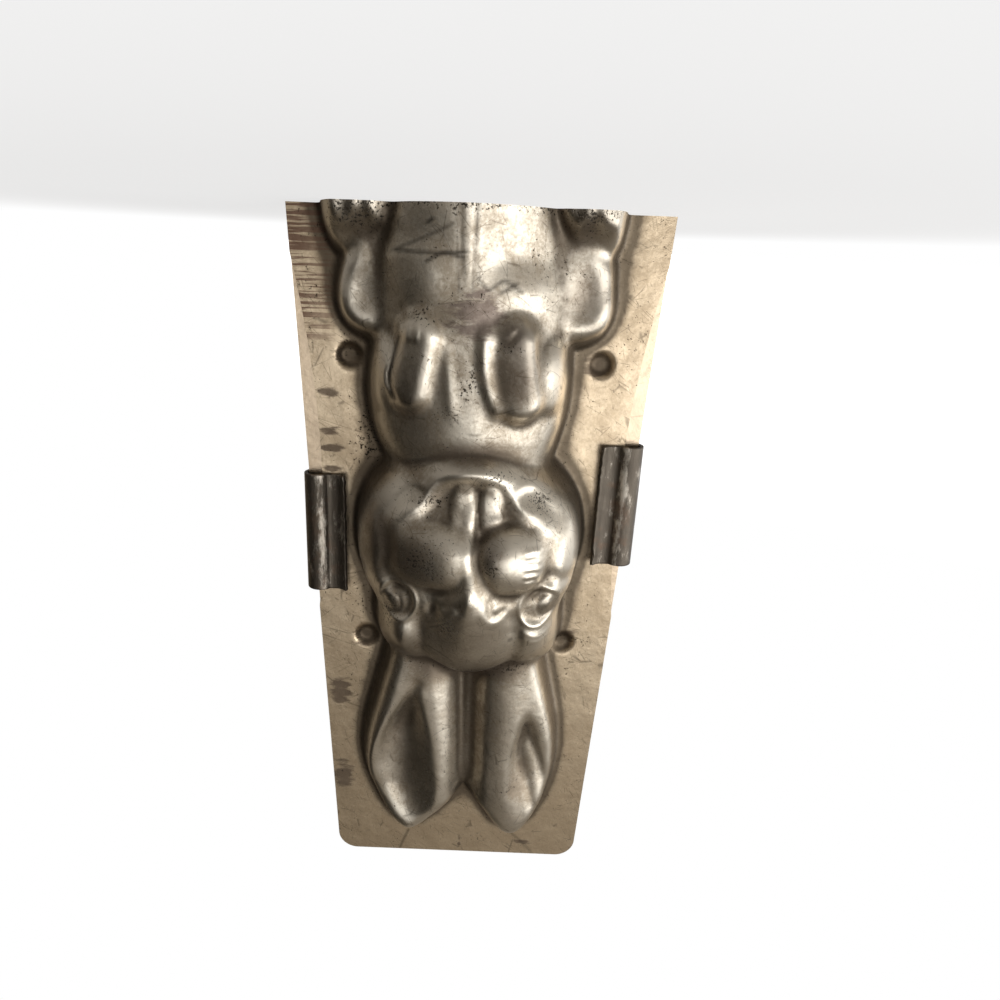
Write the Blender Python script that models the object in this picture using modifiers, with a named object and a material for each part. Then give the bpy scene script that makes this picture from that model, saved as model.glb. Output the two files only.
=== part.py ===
"""Rabbit chocolate mould: two pressed tinplate halves held together by two spring clips.

The mould stands on its open base with its ears up. Z is up, the rabbit looks along -Y, and the two
halves part at the plane Y = 0. The origin is on the base, in the middle of the parting plane.
All sizes are in metres.
"""

import math

import bmesh
import bpy
import numpy as np

MM = 0.001

# Sheet metal and fits
SHEET = 0.7 * MM                 # tinplate of the two halves
PARTING_GAP = 0.3 * MM           # between the two flanges
FIT_GAP = 0.3 * MM               # between any other two pieces that touch

# Soft corners between the pressed forms, as the height over which a crease is filled
EDGE_FILLET = 1.6 * MM           # where the figure rises from the plate
EAR_FILLET = 1.0 * MM            # between the two ears
NECK_FILLET = 2.0 * MM           # head against body and ears
HAUNCH_FILLET = 1.6 * MM
FOOT_FILLET = 0.9 * MM
FACE_FILLET = 0.5 * MM           # between the pads of the muzzle and the nose
ARM_FILLET = 0.6 * MM

# Figure, driving sizes
FIGURE_HEIGHT = 160.0 * MM       # tips of the ears
FOOT_REACH = 32.0 * MM           # outer side of a foot, from the middle

# Figure, rise above the plate
BODY_RISE = 20.0 * MM
BACK_RISE = 25.0 * MM
HEAD_RISE = 19.2 * MM
EAR_RISE = 10.5 * MM
HAUNCH_RISE = 11.0 * MM
FOOT_RISE = 15.5 * MM
TAIL_RISE = 28.5 * MM

# Figure, how far in from its outline a form reaches its full height
EAR_WALL = 5.0 * MM
HEAD_WALL = 10.0 * MM
CHIN_WALL = 5.0 * MM
HAUNCH_WALL = 5.0 * MM
FOOT_WALL = 6.5 * MM

# Figure, height of what is pressed up or down on those forms
SKULL_DOME = 2.4 * MM
FOREHEAD_RISE = 2.4 * MM
BROW_RISE = 2.3 * MM
TEMPLE_DEPTH = 0.9 * MM
PAD_RISE = 5.4 * MM
NOSE_RISE = 5.0 * MM
CHEEK_FOLD_DEPTH = 1.0 * MM
EYE_FOLD_DEPTH = 0.9 * MM
JAW_RISE = 0.5 * MM
CHIN_RISE = 1.8 * MM
EYE_DEPTH = 1.1 * MM
EYEBALL_RISE = 1.0 * MM
LID_RISE = 0.4 * MM
MOUTH_DEPTH = 2.0 * MM
MOUTH_CORNER_DEPTH = 1.2 * MM
TOOTH_RISE = 1.5 * MM
ARM_RISE = 3.5 * MM
UPPER_ARM_RISE = 3.2 * MM
CHEST_FOLD_RISE = 1.5 * MM
LEG_RISE = 0.9 * MM
TOE_RISE = 1.2 * MM
EAR_HOLLOW_DEPTH = 4.5 * MM
LEFT_EAR_HOLLOW_DEPTH = 2.8 * MM
EAR_RIB_RISE = 0.9 * MM

# Figure, half widths of the ridges and creases
TEMPLE_WIDTH = 2.4 * MM
CHEEK_FOLD_WIDTH = 2.8 * MM
EYE_FOLD_WIDTH = 2.2 * MM
JAW_WIDTH = 6.0 * MM
MOUTH_CORNER_WIDTH = 2.1 * MM
LEFT_ARM_WIDTH = 4.9 * MM
RIGHT_ARM_WIDTH = 4.6 * MM
CHEST_FOLD_WIDTH = 1.9 * MM
TOE_WIDTH = 1.6 * MM
EAR_RIB_WIDTH = 1.5 * MM

# Figure, slopes as rise over run
EAR_INNER_SLOPE = 0.63           # from an ear's crest towards the other ear
EAR_OUTER_SLOPE = 0.38
EAR_CREST_WIDTH = 2.2 * MM       # how far a crest is rounded
CHEST_SLOPE = 0.13               # from the ridge down the middle of the trunk
CHEST_RIDGE_WIDTH = 2.0 * MM
FOOT_SLOPE = 0.85                # from the toes up to the instep

# Outlines of the figure, (x, z) points in millimetres as drawn for a figure DRAWN_HEIGHT tall with feet
# that reach DRAWN_REACH, and scaled from there to FIGURE_HEIGHT and FOOT_REACH
DRAWN_HEIGHT = 160.0
DRAWN_REACH = 32.0
RIGHT_EAR = [(-7, 92), (-7, 112), (-6, 128), (-4.2, 139), (1.2, 148.1), (5.1, 152.8), (9.1, 157.2),
             (12.6, 159.1), (15.9, 158), (19.5, 153.8), (22.5, 147.2), (25, 138.5), (25.4, 129.5),
             (24, 121.5), (19.3, 102.5), (17.5, 90.7)]
LEFT_EAR = [(6, 92), (6, 112), (5, 128), (2.6, 139), (-4.7, 149.1), (-7.9, 154.2), (-11, 158),
            (-14.6, 159.2), (-18.1, 157.2), (-21.4, 151.5), (-23.8, 144), (-25, 134.9), (-24.2, 123.6),
            (-20.5, 107.4), (-17.5, 90.7)]
HEAD = [(-1.6, 108), (8.6, 104.8), (13.6, 103.8), (18.4, 101.8), (21.3, 97.6), (21.9, 90.6), (22.6, 85.4),
        (25.8, 77.4), (26.3, 71.5), (25.6, 65.4), (23.4, 59.6), (15.2, 51), (9, 47.6), (3, 45.6),
        (-2.6, 45.5), (-8.4, 47.4), (-14.4, 50.8), (-22.8, 59), (-25.2, 63.8), (-26.3, 70), (-26.2, 75.6),
        (-23.5, 85.2), (-23, 92), (-23, 98.8), (-21, 102.4), (-16.6, 104.4), (-11.6, 104.8)]
LEFT_HAUNCH = [(-10, 27.4), (-20, 27.4), (-25, 26.2), (-28, 23.6), (-29.3, 19.6), (-28.2, 9), (-24, 2),
               (-10, 2)]
RIGHT_HAUNCH = [(12, 27.2), (21, 27.2), (26, 25.8), (29, 23), (30.2, 19), (28.4, 9), (25, 2), (12, 2)]
LEFT_FOOT = [(-10.6, -9), (-11.8, -1), (-14.6, 3.4), (-18, 7.4), (-21.6, 9.6), (-25, 10), (-27.8, 8.8),
             (-29.4, 5.6), (-30, 1), (-30.2, -9)]
RIGHT_FOOT = [(12.6, -9), (13.8, -1), (16.4, 3.6), (19.8, 7.6), (23.2, 9.8), (27, 10.2), (30.2, 8.6),
              (32.2, 5), (33, 1), (33.2, -9)]
MOUTH = [(-9.6, 61.4), (-5, 63), (-0.4, 63.4), (4.6, 62.4), (8.8, 61), (9.2, 58), (7.6, 55.4), (0.8, 52.6),
         (-6.4, 54.2), (-10.2, 59.2)]

# Lines of the figure's ridges and creases, drawn in the same way
LEFT_TEMPLE = [(-9.8, 103), (-11.6, 96), (-11.6, 90), (-10.6, 84)]
RIGHT_TEMPLE = [(7.6, 103), (9.8, 96), (10.2, 90), (9.6, 85)]
LEFT_CHEEK_FOLD = [(-15.6, 78.4), (-17.8, 74.6), (-18.8, 66.4), (-19.4, 63), (-15.8, 58.6), (-10.6, 54.6)]
RIGHT_CHEEK_FOLD = [(15.8, 78.2), (17.8, 74.6), (17.9, 66.4), (17.9, 62.8), (14.8, 58.2), (10.4, 54.4)]
LEFT_EYE_FOLD = [(-26, 77.4), (-21.6, 76.6), (-17.6, 74.4)]
RIGHT_EYE_FOLD = [(26, 77.4), (21.4, 76.6), (18, 74.4)]
JAW = [(-22.4, 80), (-22.8, 73), (-21.8, 65.5), (-18.4, 59.6), (-12.6, 54.6), (-6.4, 51.2), (-1, 50),
       (4.6, 50.8), (11.4, 54.2), (17.2, 58.8), (21.4, 65), (22.8, 73), (22.2, 80)]
LEFT_MOUTH_CORNER = [(-17.8, 64.6), (-16.4, 61.6), (-13, 59), (-9.6, 57.6)]
RIGHT_MOUTH_CORNER = [(16.6, 64.2), (15.6, 61.4), (12.6, 58.8), (8.6, 57.4)]
LEFT_FOREARM = [(-9.6, 36.4), (-8.4, 31.5), (-7.6, 25)]
RIGHT_FOREARM = [(13.6, 35.6), (12.4, 30), (11.4, 24.6)]
CHEST_FOLD = [(-4.8, 39), (-3.2, 35), (-2, 29.5), (-1.9, 23.5)]
TOES = ([(-27, -3), (-26.6, 1.5), (-25.2, 5)], [(-20, -3), (-19.6, 1.5), (-20, 5.6)],
        [(16.6, -3), (17, 2), (18, 5.8)], [(24.6, -3), (24.8, 2), (24.6, 6)])
EAR_RIB = [(-1.4, 140), (-0.9, 126), (-0.8, 112)]

# Ovals of the figure, drawn in the same way: middle, then half width and half height
FOREHEAD = ((-1.2, 94), (11, 14))
BROWS = (((-16.6, 91.4), (7.4, 7)), ((15.6, 91.2), (6.8, 7)))
LEFT_PAD = ((-8.9, 71), (7.5, 8.4))
RIGHT_PAD = ((7.1, 71), (9.1, 7.4))
CHIN = ((-0.8, 49.6), (11, 5.2))
EYES = (((-16.3, 81.8), (4.6, 4.9)), ((15.3, 81.6), (4.3, 4.9)))
EYEBALLS = (((-18.1, 81.8), (2.2, 2.9)), ((16.8, 82.4), (2.2, 2.9)))
TEETH = (((-3.7, 59.6), (2.4, 4.8)), ((1.1, 59.6), (2.3, 4.6)))
LEFT_UPPER_ARM = ((-16.4, 32.6), (4.9, 8))
RIGHT_UPPER_ARM = ((19.4, 33), (3.8, 8.4))
LEGS = (((-7.8, 13.5), (8, 9)), ((11, 13.5), (7.5, 9)))
TAIL = ((0.8, 17), (11, 11))

# Stations of the figure, as (drawn height, value) pairs
TRUNK_LEFT = [(-9, -16), (0, -17.5), (10, -20), (27, -20.6), (38, -21.1), (48, -19.4), (60, -17)]
TRUNK_RIGHT = [(-9, 18), (0, 19.6), (10, 22), (27, 22.8), (38, 23.9), (48, 22.1), (60, 18)]
TRUNK_RIDGE = [(10, 2.2), (25, 0.6)]
TRUNK_TOP = 64.0
TRUNK_SHARE = [(0, 1), (20, 1), (34, 0.99), (42, 0.965), (46, 0.935), (50, 0.88), (55, 0.8), (TRUNK_TOP, -1)]
HEAD_SHARE = [(45, 0.88), (50, 0.94), (60, 0.97), (70, 1), (81, 1), (86, 0.96), (92, 0.86), (98, 0.75),
              (103, 0.64), (107, 0.55)]
CHIN_STATIONS = (46, 62)
NOSE_MIDDLE = -0.8
NOSE_HALF_WIDTH = [(74, 0.8), (77, 2.2), (80, 4.8), (83, 7.4), (85.5, 8.2), (88, 7.2), (92, 5.8), (98, 5.2)]
NOSE_SHARE = [(72, 0), (77, 1), (80, 0.98), (83, 0.86), (86, 0.66), (90, 0.4), (95, 0.16), (100, 0)]
EAR_SHARE = [(100, 1.08), (125, 1), (145, 0.94), (156, 0.84), (162, 0.7)]
RIGHT_EAR_CREST = [(104, 8), (118, 6.6), (130, 5.2), (140, 5), (150, 6.6), (157, 9), (162, 13)]
LEFT_EAR_CREST = [(104, -10), (118, -10.4), (130, -10.4), (142, -10.8), (150, -11.8), (157, -13),
                  (162, -14.6)]
RIGHT_HOLLOW_INNER = [(112, 10.6), (118, 9.4), (127, 7.4), (140, 6.2), (152, 7), (158, 9), (161, 12)]
RIGHT_HOLLOW_OUTER = [(112, 11.6), (117, 15.6), (127, 21.2), (135, 24.2), (143, 24), (150, 22), (156, 18.2),
                      (160, 14.4)]
RIGHT_HOLLOW_SHARE = [(111.5, 0), (118, 0.5), (125, 1), (150, 1), (156, 0.5), (161, 0)]
LEFT_HOLLOW_INNER = [(111, -15.4), (118, -13.8), (127, -13), (134, -12.6)]
LEFT_HOLLOW_OUTER = [(111, -17.6), (117, -21.4), (125, -24.2), (135, -25.2), (145, -24.6)]
LEFT_HOLLOW_SHARE = [(110.5, 0), (118, 1), (128, 1), (137, 0.5), (146, 0)]
HOLLOW_DEEPEST = 0.39            # share of the way across from the crest
LEFT_HOLLOW_DEEPEST = 0.25

# Flange plate round the figure
PLATE_TOP_MARGIN = 10.5 * MM     # plate above the ear tips
PLATE_FOOT_MARGIN = 9.2 * MM     # plate beside a foot
PLATE_EAR_MARGIN = 7.6 * MM      # plate beside an ear, at the plate's top
PLATE_CORNER = 5.0 * MM
FRONT_BOW = 3.4 * MM             # how far the front plate's edge is drawn in beside the paws
FRONT_BOW_Z = 52.0 * MM
FRONT_BOW_SPAN = 84.0 * MM

# Locating dimples
DIMPLE_RADIUS = 3.1 * MM
DIMPLE_FLOOR_RADIUS = 1.8 * MM
DIMPLE_DEPTH = 1.3 * MM
DIMPLE_LOOSENESS = 0.35 * MM     # how much wider the receiving dimple is
LOWER_DIMPLE_Z = 31.5 * MM
UPPER_DIMPLE_Z = 102.0 * MM
DIMPLE_INSET = 11.4 * MM         # from the plate's edge to a dimple's middle

# Spring clips
CLIP_LENGTH = 29.5 * MM
CLIP_SHEET = 0.8 * MM
CLIP_ROLL_RADIUS = 2.8 * MM      # middle of the sheet
CLIP_GRIP = 2.4 * MM             # straight stretch that lies on the plate
CLIP_LIP = 2.2 * MM              # flared stretch, along the plate
CLIP_LIP_RISE = 1.5 * MM
RIGHT_CLIP_Z = 74.0 * MM         # middle of a clip
LEFT_CLIP_Z = 64.5 * MM
CLIP_ARC_STEPS = 16

# Fineness of the pressed sheets
GRID_STEP = 0.5 * MM
FRONT_KEEP = 0.040               # share of the grid's faces that the pressed shapes need
BACK_KEEP = 0.019
TRIM_MARGIN = 3.0 * MM           # how far the sheet runs past its outline before it is trimmed

# Shape of the pressed forms
CURVE_STEPS = 5                  # steps between two drawn points
WALL_FULLNESS = 2.2              # how squarely a form rises from its outline: 2 is a quarter circle
TRUNK_FULLNESS = 2.5             # the same across the trunk
OUTSIDE_FALL = 2.0               # slope of a form below the plate, outside its outline
LID_SHARE = 0.2                  # half width of an eye's rim, as a share of the eye
EYE_FLOOR_SHARE = 0.55           # how far out an eye's floor is level

# Worked out from the sizes above
UP = FIGURE_HEIGHT / DRAWN_HEIGHT      # metres for a drawn millimetre of height
TRIM_REACH = 2 * TAIL_RISE              # half the depth of the block that trims a sheet
ACROSS = FOOT_REACH / DRAWN_REACH      # metres for a drawn millimetre of width
HEAD_HALF_WIDTH = max(x for x, z in HEAD) * ACROSS
PLATE_LENGTH = FIGURE_HEIGHT + PLATE_TOP_MARGIN
PLATE_HALF_BASE = FOOT_REACH + PLATE_FOOT_MARGIN
PLATE_HALF_TOP = max(x for x, z in RIGHT_EAR) * ACROSS + PLATE_EAR_MARGIN
PLATE_FACE = PARTING_GAP / 2 + SHEET


def plate_half_width(z):
    """Half width of the tapered plate at height z."""
    return PLATE_HALF_BASE + (PLATE_HALF_TOP - PLATE_HALF_BASE) * z / PLATE_LENGTH


def front_half_width(z):
    """Half width of the front plate, whose edges are drawn in beside the paws."""
    across = np.clip((z - FRONT_BOW_Z) / (FRONT_BOW_SPAN / 2), -1.0, 1.0)
    return plate_half_width(z) - FRONT_BOW * np.cos(across * math.pi / 2) ** 2


def smooth_line(points, closed):
    """A smooth curve through drawn points, in metres."""
    given = np.array(points, dtype=float) * (ACROSS, UP)
    if closed:
        padded = np.vstack([given[-1:], given, given[:2]])
    else:
        padded = np.vstack([2 * given[:1] - given[1:2], given, 2 * given[-1:] - given[-2:-1]])
    steps = np.linspace(0.0, 1.0, CURVE_STEPS, endpoint=False)[:, None]
    spans = []
    for a, b, c, d in zip(padded, padded[1:], padded[2:], padded[3:]):
        bend, twist = 2 * a - 5 * b + 4 * c - d, 3 * b - a - 3 * c + d
        spans.append((2 * b + (c - a) * steps + bend * steps ** 2 + twist * steps ** 3) / 2)
    curve = np.vstack(spans)
    return curve if closed else np.vstack([curve, given[-1:]])


def distance_to(x, z, curve):
    """How far each place lies from a curve."""
    nearest = np.full(x.shape, np.inf)
    for (ax, az), (bx, bz) in zip(curve, curve[1:]):
        run_x, run_z = bx - ax, bz - az
        along = np.clip(((x - ax) * run_x + (z - az) * run_z) / (run_x ** 2 + run_z ** 2), 0.0, 1.0)
        nearest = np.minimum(nearest, (x - ax - along * run_x) ** 2 + (z - az - along * run_z) ** 2)
    return np.sqrt(nearest)


def depth_inside(x, z, points):
    """How far each place lies inside a drawn outline, negative outside it."""
    curve = smooth_line(points, closed=True)
    loop = np.vstack([curve, curve[:1]])
    inside = np.zeros(x.shape, dtype=bool)
    for (ax, az), (bx, bz) in zip(loop, loop[1:]):
        if az != bz:
            crosses = (az > z) != (bz > z)
            inside ^= crosses & (x < ax + (z - az) / (bz - az) * (bx - ax))
    away = distance_to(x, z, loop)
    return np.where(inside, away, -away)


def at_height(z, stations):
    """The value at height z between stations, given as (drawn height, value) pairs."""
    heights, values = zip(*stations)
    return np.interp(z / UP, heights, values)


def join(a, b, fillet):
    """The higher of two surfaces, with the crease between them filled over a height of fillet."""
    share = np.clip(0.5 + 0.5 * (a - b) / fillet, 0.0, 1.0)
    return b + (a - b) * share + fillet * share * (1.0 - share)


def ease(value, low, high):
    """Runs smoothly from 0 at low to 1 at high."""
    share = np.clip((value - low) / (high - low), 0.0, 1.0)
    return share * share * (3.0 - 2.0 * share)


def hill(distance):
    """A smooth hill, 1 at distance 0 and gone at distance 1."""
    near = np.clip(1.0 - distance ** 2, 0.0, 1.0)
    return near * near


def swell(away):
    """A full rounded pad, 1 in the middle and gone at distance 1, with steep sides."""
    return np.sqrt(1.0 - np.clip(away, 0.0, 1.0) ** 2)


def oval(x, z, shape):
    """Share of the way from a drawn oval's middle to its rim. shape is its middle and its half sizes."""
    middle, half = shape
    return np.hypot((x / ACROSS - middle[0]) / half[0], (z / UP - middle[1]) / half[1])


def ridge(x, z, points, width):
    """A smooth ridge along a drawn line, 1 on the line and gone at the width."""
    return hill(distance_to(x, z, smooth_line(points, closed=False)) / width)


def bar(x, z, points, width):
    """A round bar along a drawn line, 1 on the line and gone at the width, with steep sides."""
    return swell(distance_to(x, z, smooth_line(points, closed=False)) / width)


def raised(inside, rise, wall):
    """A form pressed up within an outline, rounded over its edge and level further in than the wall.

    Outside the outline it runs down below the plate.
    """
    share = np.clip(inside / wall, 0.0, 1.0)
    top = rise * (1.0 - (1.0 - share) ** WALL_FULLNESS) ** (1.0 / WALL_FULLNESS)
    return np.where(inside > 0.0, top, inside * OUTSIDE_FALL)


def crest_fall(distance, slope):
    """How far a rounded crest has fallen at a distance on its sloping side."""
    return slope * (distance + np.hypot(distance, EAR_CREST_WIDTH)) / 2


def hollow(x, inner, outer, deepest):
    """A dish between two sides, 0 at both and 1 at the share of the way that is deepest."""
    share = np.clip((x - inner) / (outer - inner), 0.0, 1.0)
    profile = share ** (2 * deepest) * (1.0 - share) ** (2 - 2 * deepest)
    return profile / (deepest ** (2 * deepest) * (1.0 - deepest) ** (2 - 2 * deepest))


def ears(x, z, dished):
    """Both ears, each sloping off from a crest, with a long hollow in each on the front half."""
    right_crest = at_height(z, RIGHT_EAR_CREST) * ACROSS
    left_crest = at_height(z, LEFT_EAR_CREST) * ACROSS
    top = EAR_RISE + EAR_CREST_WIDTH / 2
    right_top = top - crest_fall(right_crest - x, EAR_INNER_SLOPE)
    left_top = top - crest_fall(x - left_crest, EAR_INNER_SLOPE)
    left_top = left_top - crest_fall(left_crest - EAR_CREST_WIDTH - x, EAR_OUTER_SLOPE)
    right = np.minimum(raised(depth_inside(x, z, RIGHT_EAR), EAR_RISE, EAR_WALL), right_top)
    left = np.minimum(raised(depth_inside(x, z, LEFT_EAR), EAR_RISE, EAR_WALL), left_top)
    surface = join(right, left, EAR_FILLET) * at_height(z, EAR_SHARE)
    if not dished:
        return surface
    surface = surface + EAR_RIB_RISE * ridge(x, z, EAR_RIB, EAR_RIB_WIDTH)
    inner, outer = at_height(z, RIGHT_HOLLOW_INNER) * ACROSS, at_height(z, RIGHT_HOLLOW_OUTER) * ACROSS
    dish = hollow(x, inner, outer, HOLLOW_DEEPEST) * at_height(z, RIGHT_HOLLOW_SHARE)
    surface = surface - EAR_HOLLOW_DEPTH * dish
    inner, outer = at_height(z, LEFT_HOLLOW_INNER) * ACROSS, at_height(z, LEFT_HOLLOW_OUTER) * ACROSS
    dish = hollow(x, inner, outer, LEFT_HOLLOW_DEEPEST) * at_height(z, LEFT_HOLLOW_SHARE)
    return surface - LEFT_EAR_HOLLOW_DEPTH * dish


def head(x, z):
    """Skull, cheeks and chin, the same for both halves."""
    inside = depth_inside(x, z, HEAD)
    chin, cheeks = CHIN_STATIONS
    wall = CHIN_WALL + (HEAD_WALL - CHIN_WALL) * np.clip((z / UP - chin) / (cheeks - chin), 0.0, 1.0)
    rise = np.where(inside > 0.0, HEAD_RISE * at_height(z, HEAD_SHARE), 1.0)
    dome = np.clip(1.0 - (x / HEAD_HALF_WIDTH) ** 2, 0.0, 1.0) * ease(inside, 0.0, HEAD_WALL)
    return raised(inside, 1.0, wall) * rise + SKULL_DOME * dome


def body(x, z, rise):
    """Trunk from the base to the neck, round across with a soft ridge down its middle."""
    left, right = at_height(z, TRUNK_LEFT) * ACROSS, at_height(z, TRUNK_RIGHT) * ACROSS
    middle, half = (left + right) / 2, (right - left) / 2
    across = np.abs(x - middle) / half
    from_ridge = np.hypot(x - at_height(z, TRUNK_RIDGE) * ACROSS, CHEST_RIDGE_WIDTH) - CHEST_RIDGE_WIDTH
    section = np.clip(1.0 - across ** TRUNK_FULLNESS, 0.0, 1.0) ** (1.0 / WALL_FULLNESS)
    inside = np.minimum((1.0 - across) * half, TRUNK_TOP * UP - z)
    surface = (rise - CHEST_SLOPE * from_ridge) * section * at_height(z, TRUNK_SHARE)
    return np.where(inside > 0.0, surface, inside * OUTSIDE_FALL)


def haunches(x, z):
    """The folded thighs beside the trunk, level on top."""
    left = raised(depth_inside(x, z, LEFT_HAUNCH), HAUNCH_RISE, HAUNCH_WALL)
    right = raised(depth_inside(x, z, RIGHT_HAUNCH), HAUNCH_RISE, HAUNCH_WALL)
    return np.maximum(left, right)


def feet(x, z, toes):
    """The feet at the base, sloping back to the instep, with toes on the front half."""
    left = raised(depth_inside(x, z, LEFT_FOOT), FOOT_RISE, FOOT_WALL)
    right = raised(depth_inside(x, z, RIGHT_FOOT), FOOT_RISE, FOOT_WALL)
    instep = FOOT_RISE + FOOT_FILLET - FOOT_SLOPE * np.maximum(z, 0.0)
    surface = np.minimum(np.maximum(left, right), instep)
    if toes:
        surface = surface + TOE_RISE * sum(ridge(x, z, line, TOE_WIDTH) for line in TOES)
    return surface


def forehead_and_eyes(x, z):
    """What is pressed up and down on the skull, from the crown to the eyes."""
    pressed = FOREHEAD_RISE * hill(oval(x, z, FOREHEAD))
    pressed = pressed + BROW_RISE * sum(hill(oval(x, z, brow)) for brow in BROWS)
    for line in (LEFT_TEMPLE, RIGHT_TEMPLE):
        pressed = pressed - TEMPLE_DEPTH * ridge(x, z, line, TEMPLE_WIDTH)
    for eye, ball in zip(EYES, EYEBALLS):
        away = oval(x, z, eye)
        pressed = pressed + LID_RISE * hill((away - 1.0) / LID_SHARE) + EYEBALL_RISE * swell(oval(x, z, ball))
        pressed = pressed - EYE_DEPTH * ease(away, 1.0, EYE_FLOOR_SHARE)
    return pressed


def muzzle(x, z):
    """The two pads of the muzzle, the nose above them and the folds of the cheeks."""
    pads = join(PAD_RISE * swell(oval(x, z, LEFT_PAD)), PAD_RISE * swell(oval(x, z, RIGHT_PAD)), FACE_FILLET)
    from_middle = (x / ACROSS - NOSE_MIDDLE) / at_height(z, NOSE_HALF_WIDTH)
    nose = NOSE_RISE * at_height(z, NOSE_SHARE) * np.clip(1.0 - from_middle ** 2, 0.0, 1.0)
    pressed = join(pads, nose, FACE_FILLET)
    folds = [ridge(x, z, line, CHEEK_FOLD_WIDTH) for line in (LEFT_CHEEK_FOLD, RIGHT_CHEEK_FOLD)]
    pressed = pressed - CHEEK_FOLD_DEPTH * np.maximum(*folds)
    for line in (LEFT_EYE_FOLD, RIGHT_EYE_FOLD):
        pressed = pressed - EYE_FOLD_DEPTH * ridge(x, z, line, EYE_FOLD_WIDTH)
    return pressed


def mouth(x, z):
    """The open grin with its corners and two long teeth, the jaw round it and the chin."""
    pressed = JAW_RISE * bar(x, z, JAW, JAW_WIDTH) + CHIN_RISE * hill(oval(x, z, CHIN))
    corners = [ridge(x, z, line, MOUTH_CORNER_WIDTH) for line in (LEFT_MOUTH_CORNER, RIGHT_MOUTH_CORNER)]
    grin = MOUTH_DEPTH * ease(depth_inside(x, z, MOUTH), 0.0, MOUTH_DEPTH)
    pressed = pressed - np.maximum(grin, MOUTH_CORNER_DEPTH * np.maximum(*corners))
    return pressed + TOOTH_RISE * sum(swell(oval(x, z, tooth) ** 2) for tooth in TEETH)


def arms_and_legs(x, z):
    """Arms hanging on the chest, the fold between them and the legs below."""
    pressed = np.zeros_like(x)
    arms = ((LEFT_FOREARM, LEFT_ARM_WIDTH, LEFT_UPPER_ARM), (RIGHT_FOREARM, RIGHT_ARM_WIDTH, RIGHT_UPPER_ARM))
    for forearm, width, upper_arm in arms:
        shape = ARM_RISE * bar(x, z, forearm, width)
        pressed = pressed + join(shape, UPPER_ARM_RISE * swell(oval(x, z, upper_arm)), ARM_FILLET)
    pressed = pressed + CHEST_FOLD_RISE * ridge(x, z, CHEST_FOLD, CHEST_FOLD_WIDTH)
    return pressed + LEG_RISE * sum(hill(oval(x, z, leg)) for leg in LEGS)


def front_relief(x, z):
    """How far the front of the rabbit stands out of the plate at (x, z)."""
    surface = body(x, z, BODY_RISE) + arms_and_legs(x, z)
    surface = join(surface, haunches(x, z), HAUNCH_FILLET)
    surface = join(surface, feet(x, z, toes=True), FOOT_FILLET)
    surface = join(surface, ears(x, z, dished=True), NECK_FILLET)
    face = forehead_and_eyes(x, z) + muzzle(x, z) + mouth(x, z)
    surface = join(surface, head(x, z) + face, NECK_FILLET)
    return join(surface, np.zeros_like(surface), EDGE_FILLET)


def back_relief(x, z):
    """How far the back of the rabbit stands out of the plate at (x, z)."""
    surface = join(body(x, z, BACK_RISE), haunches(x, z), HAUNCH_FILLET)
    surface = join(surface, feet(x, z, toes=False), FOOT_FILLET)
    surface = join(surface, ears(x, z, dished=False), NECK_FILLET)
    surface = surface + (TAIL_RISE - BACK_RISE) * swell(oval(x, z, TAIL))
    surface = join(surface, head(x, z), NECK_FILLET)
    return join(surface, np.zeros_like(surface), EDGE_FILLET)


def dimples(x, z, wider):
    """Depth of the four locating dimples, each wider by a given radius than the front plate's own."""
    depth = np.zeros_like(x)
    for height in (LOWER_DIMPLE_Z, UPPER_DIMPLE_Z):
        reach = plate_half_width(height) - DIMPLE_INSET
        away = np.hypot(np.abs(x) - reach, z - height)
        slope = (DIMPLE_RADIUS + wider - away) / (DIMPLE_RADIUS - DIMPLE_FLOOR_RADIUS)
        depth = depth + DIMPLE_DEPTH * np.clip(slope, 0.0, 1.0)
    return depth


def material(name, colour, roughness, metallic=1.0):
    """A plain metal."""
    made = bpy.data.materials.new(name)
    made.use_nodes = True
    shader = made.node_tree.nodes["Principled BSDF"]
    shader.inputs["Base Color"].default_value = (*colour, 1.0)
    shader.inputs["Roughness"].default_value = roughness
    shader.inputs["Metallic"].default_value = metallic
    return made


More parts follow.
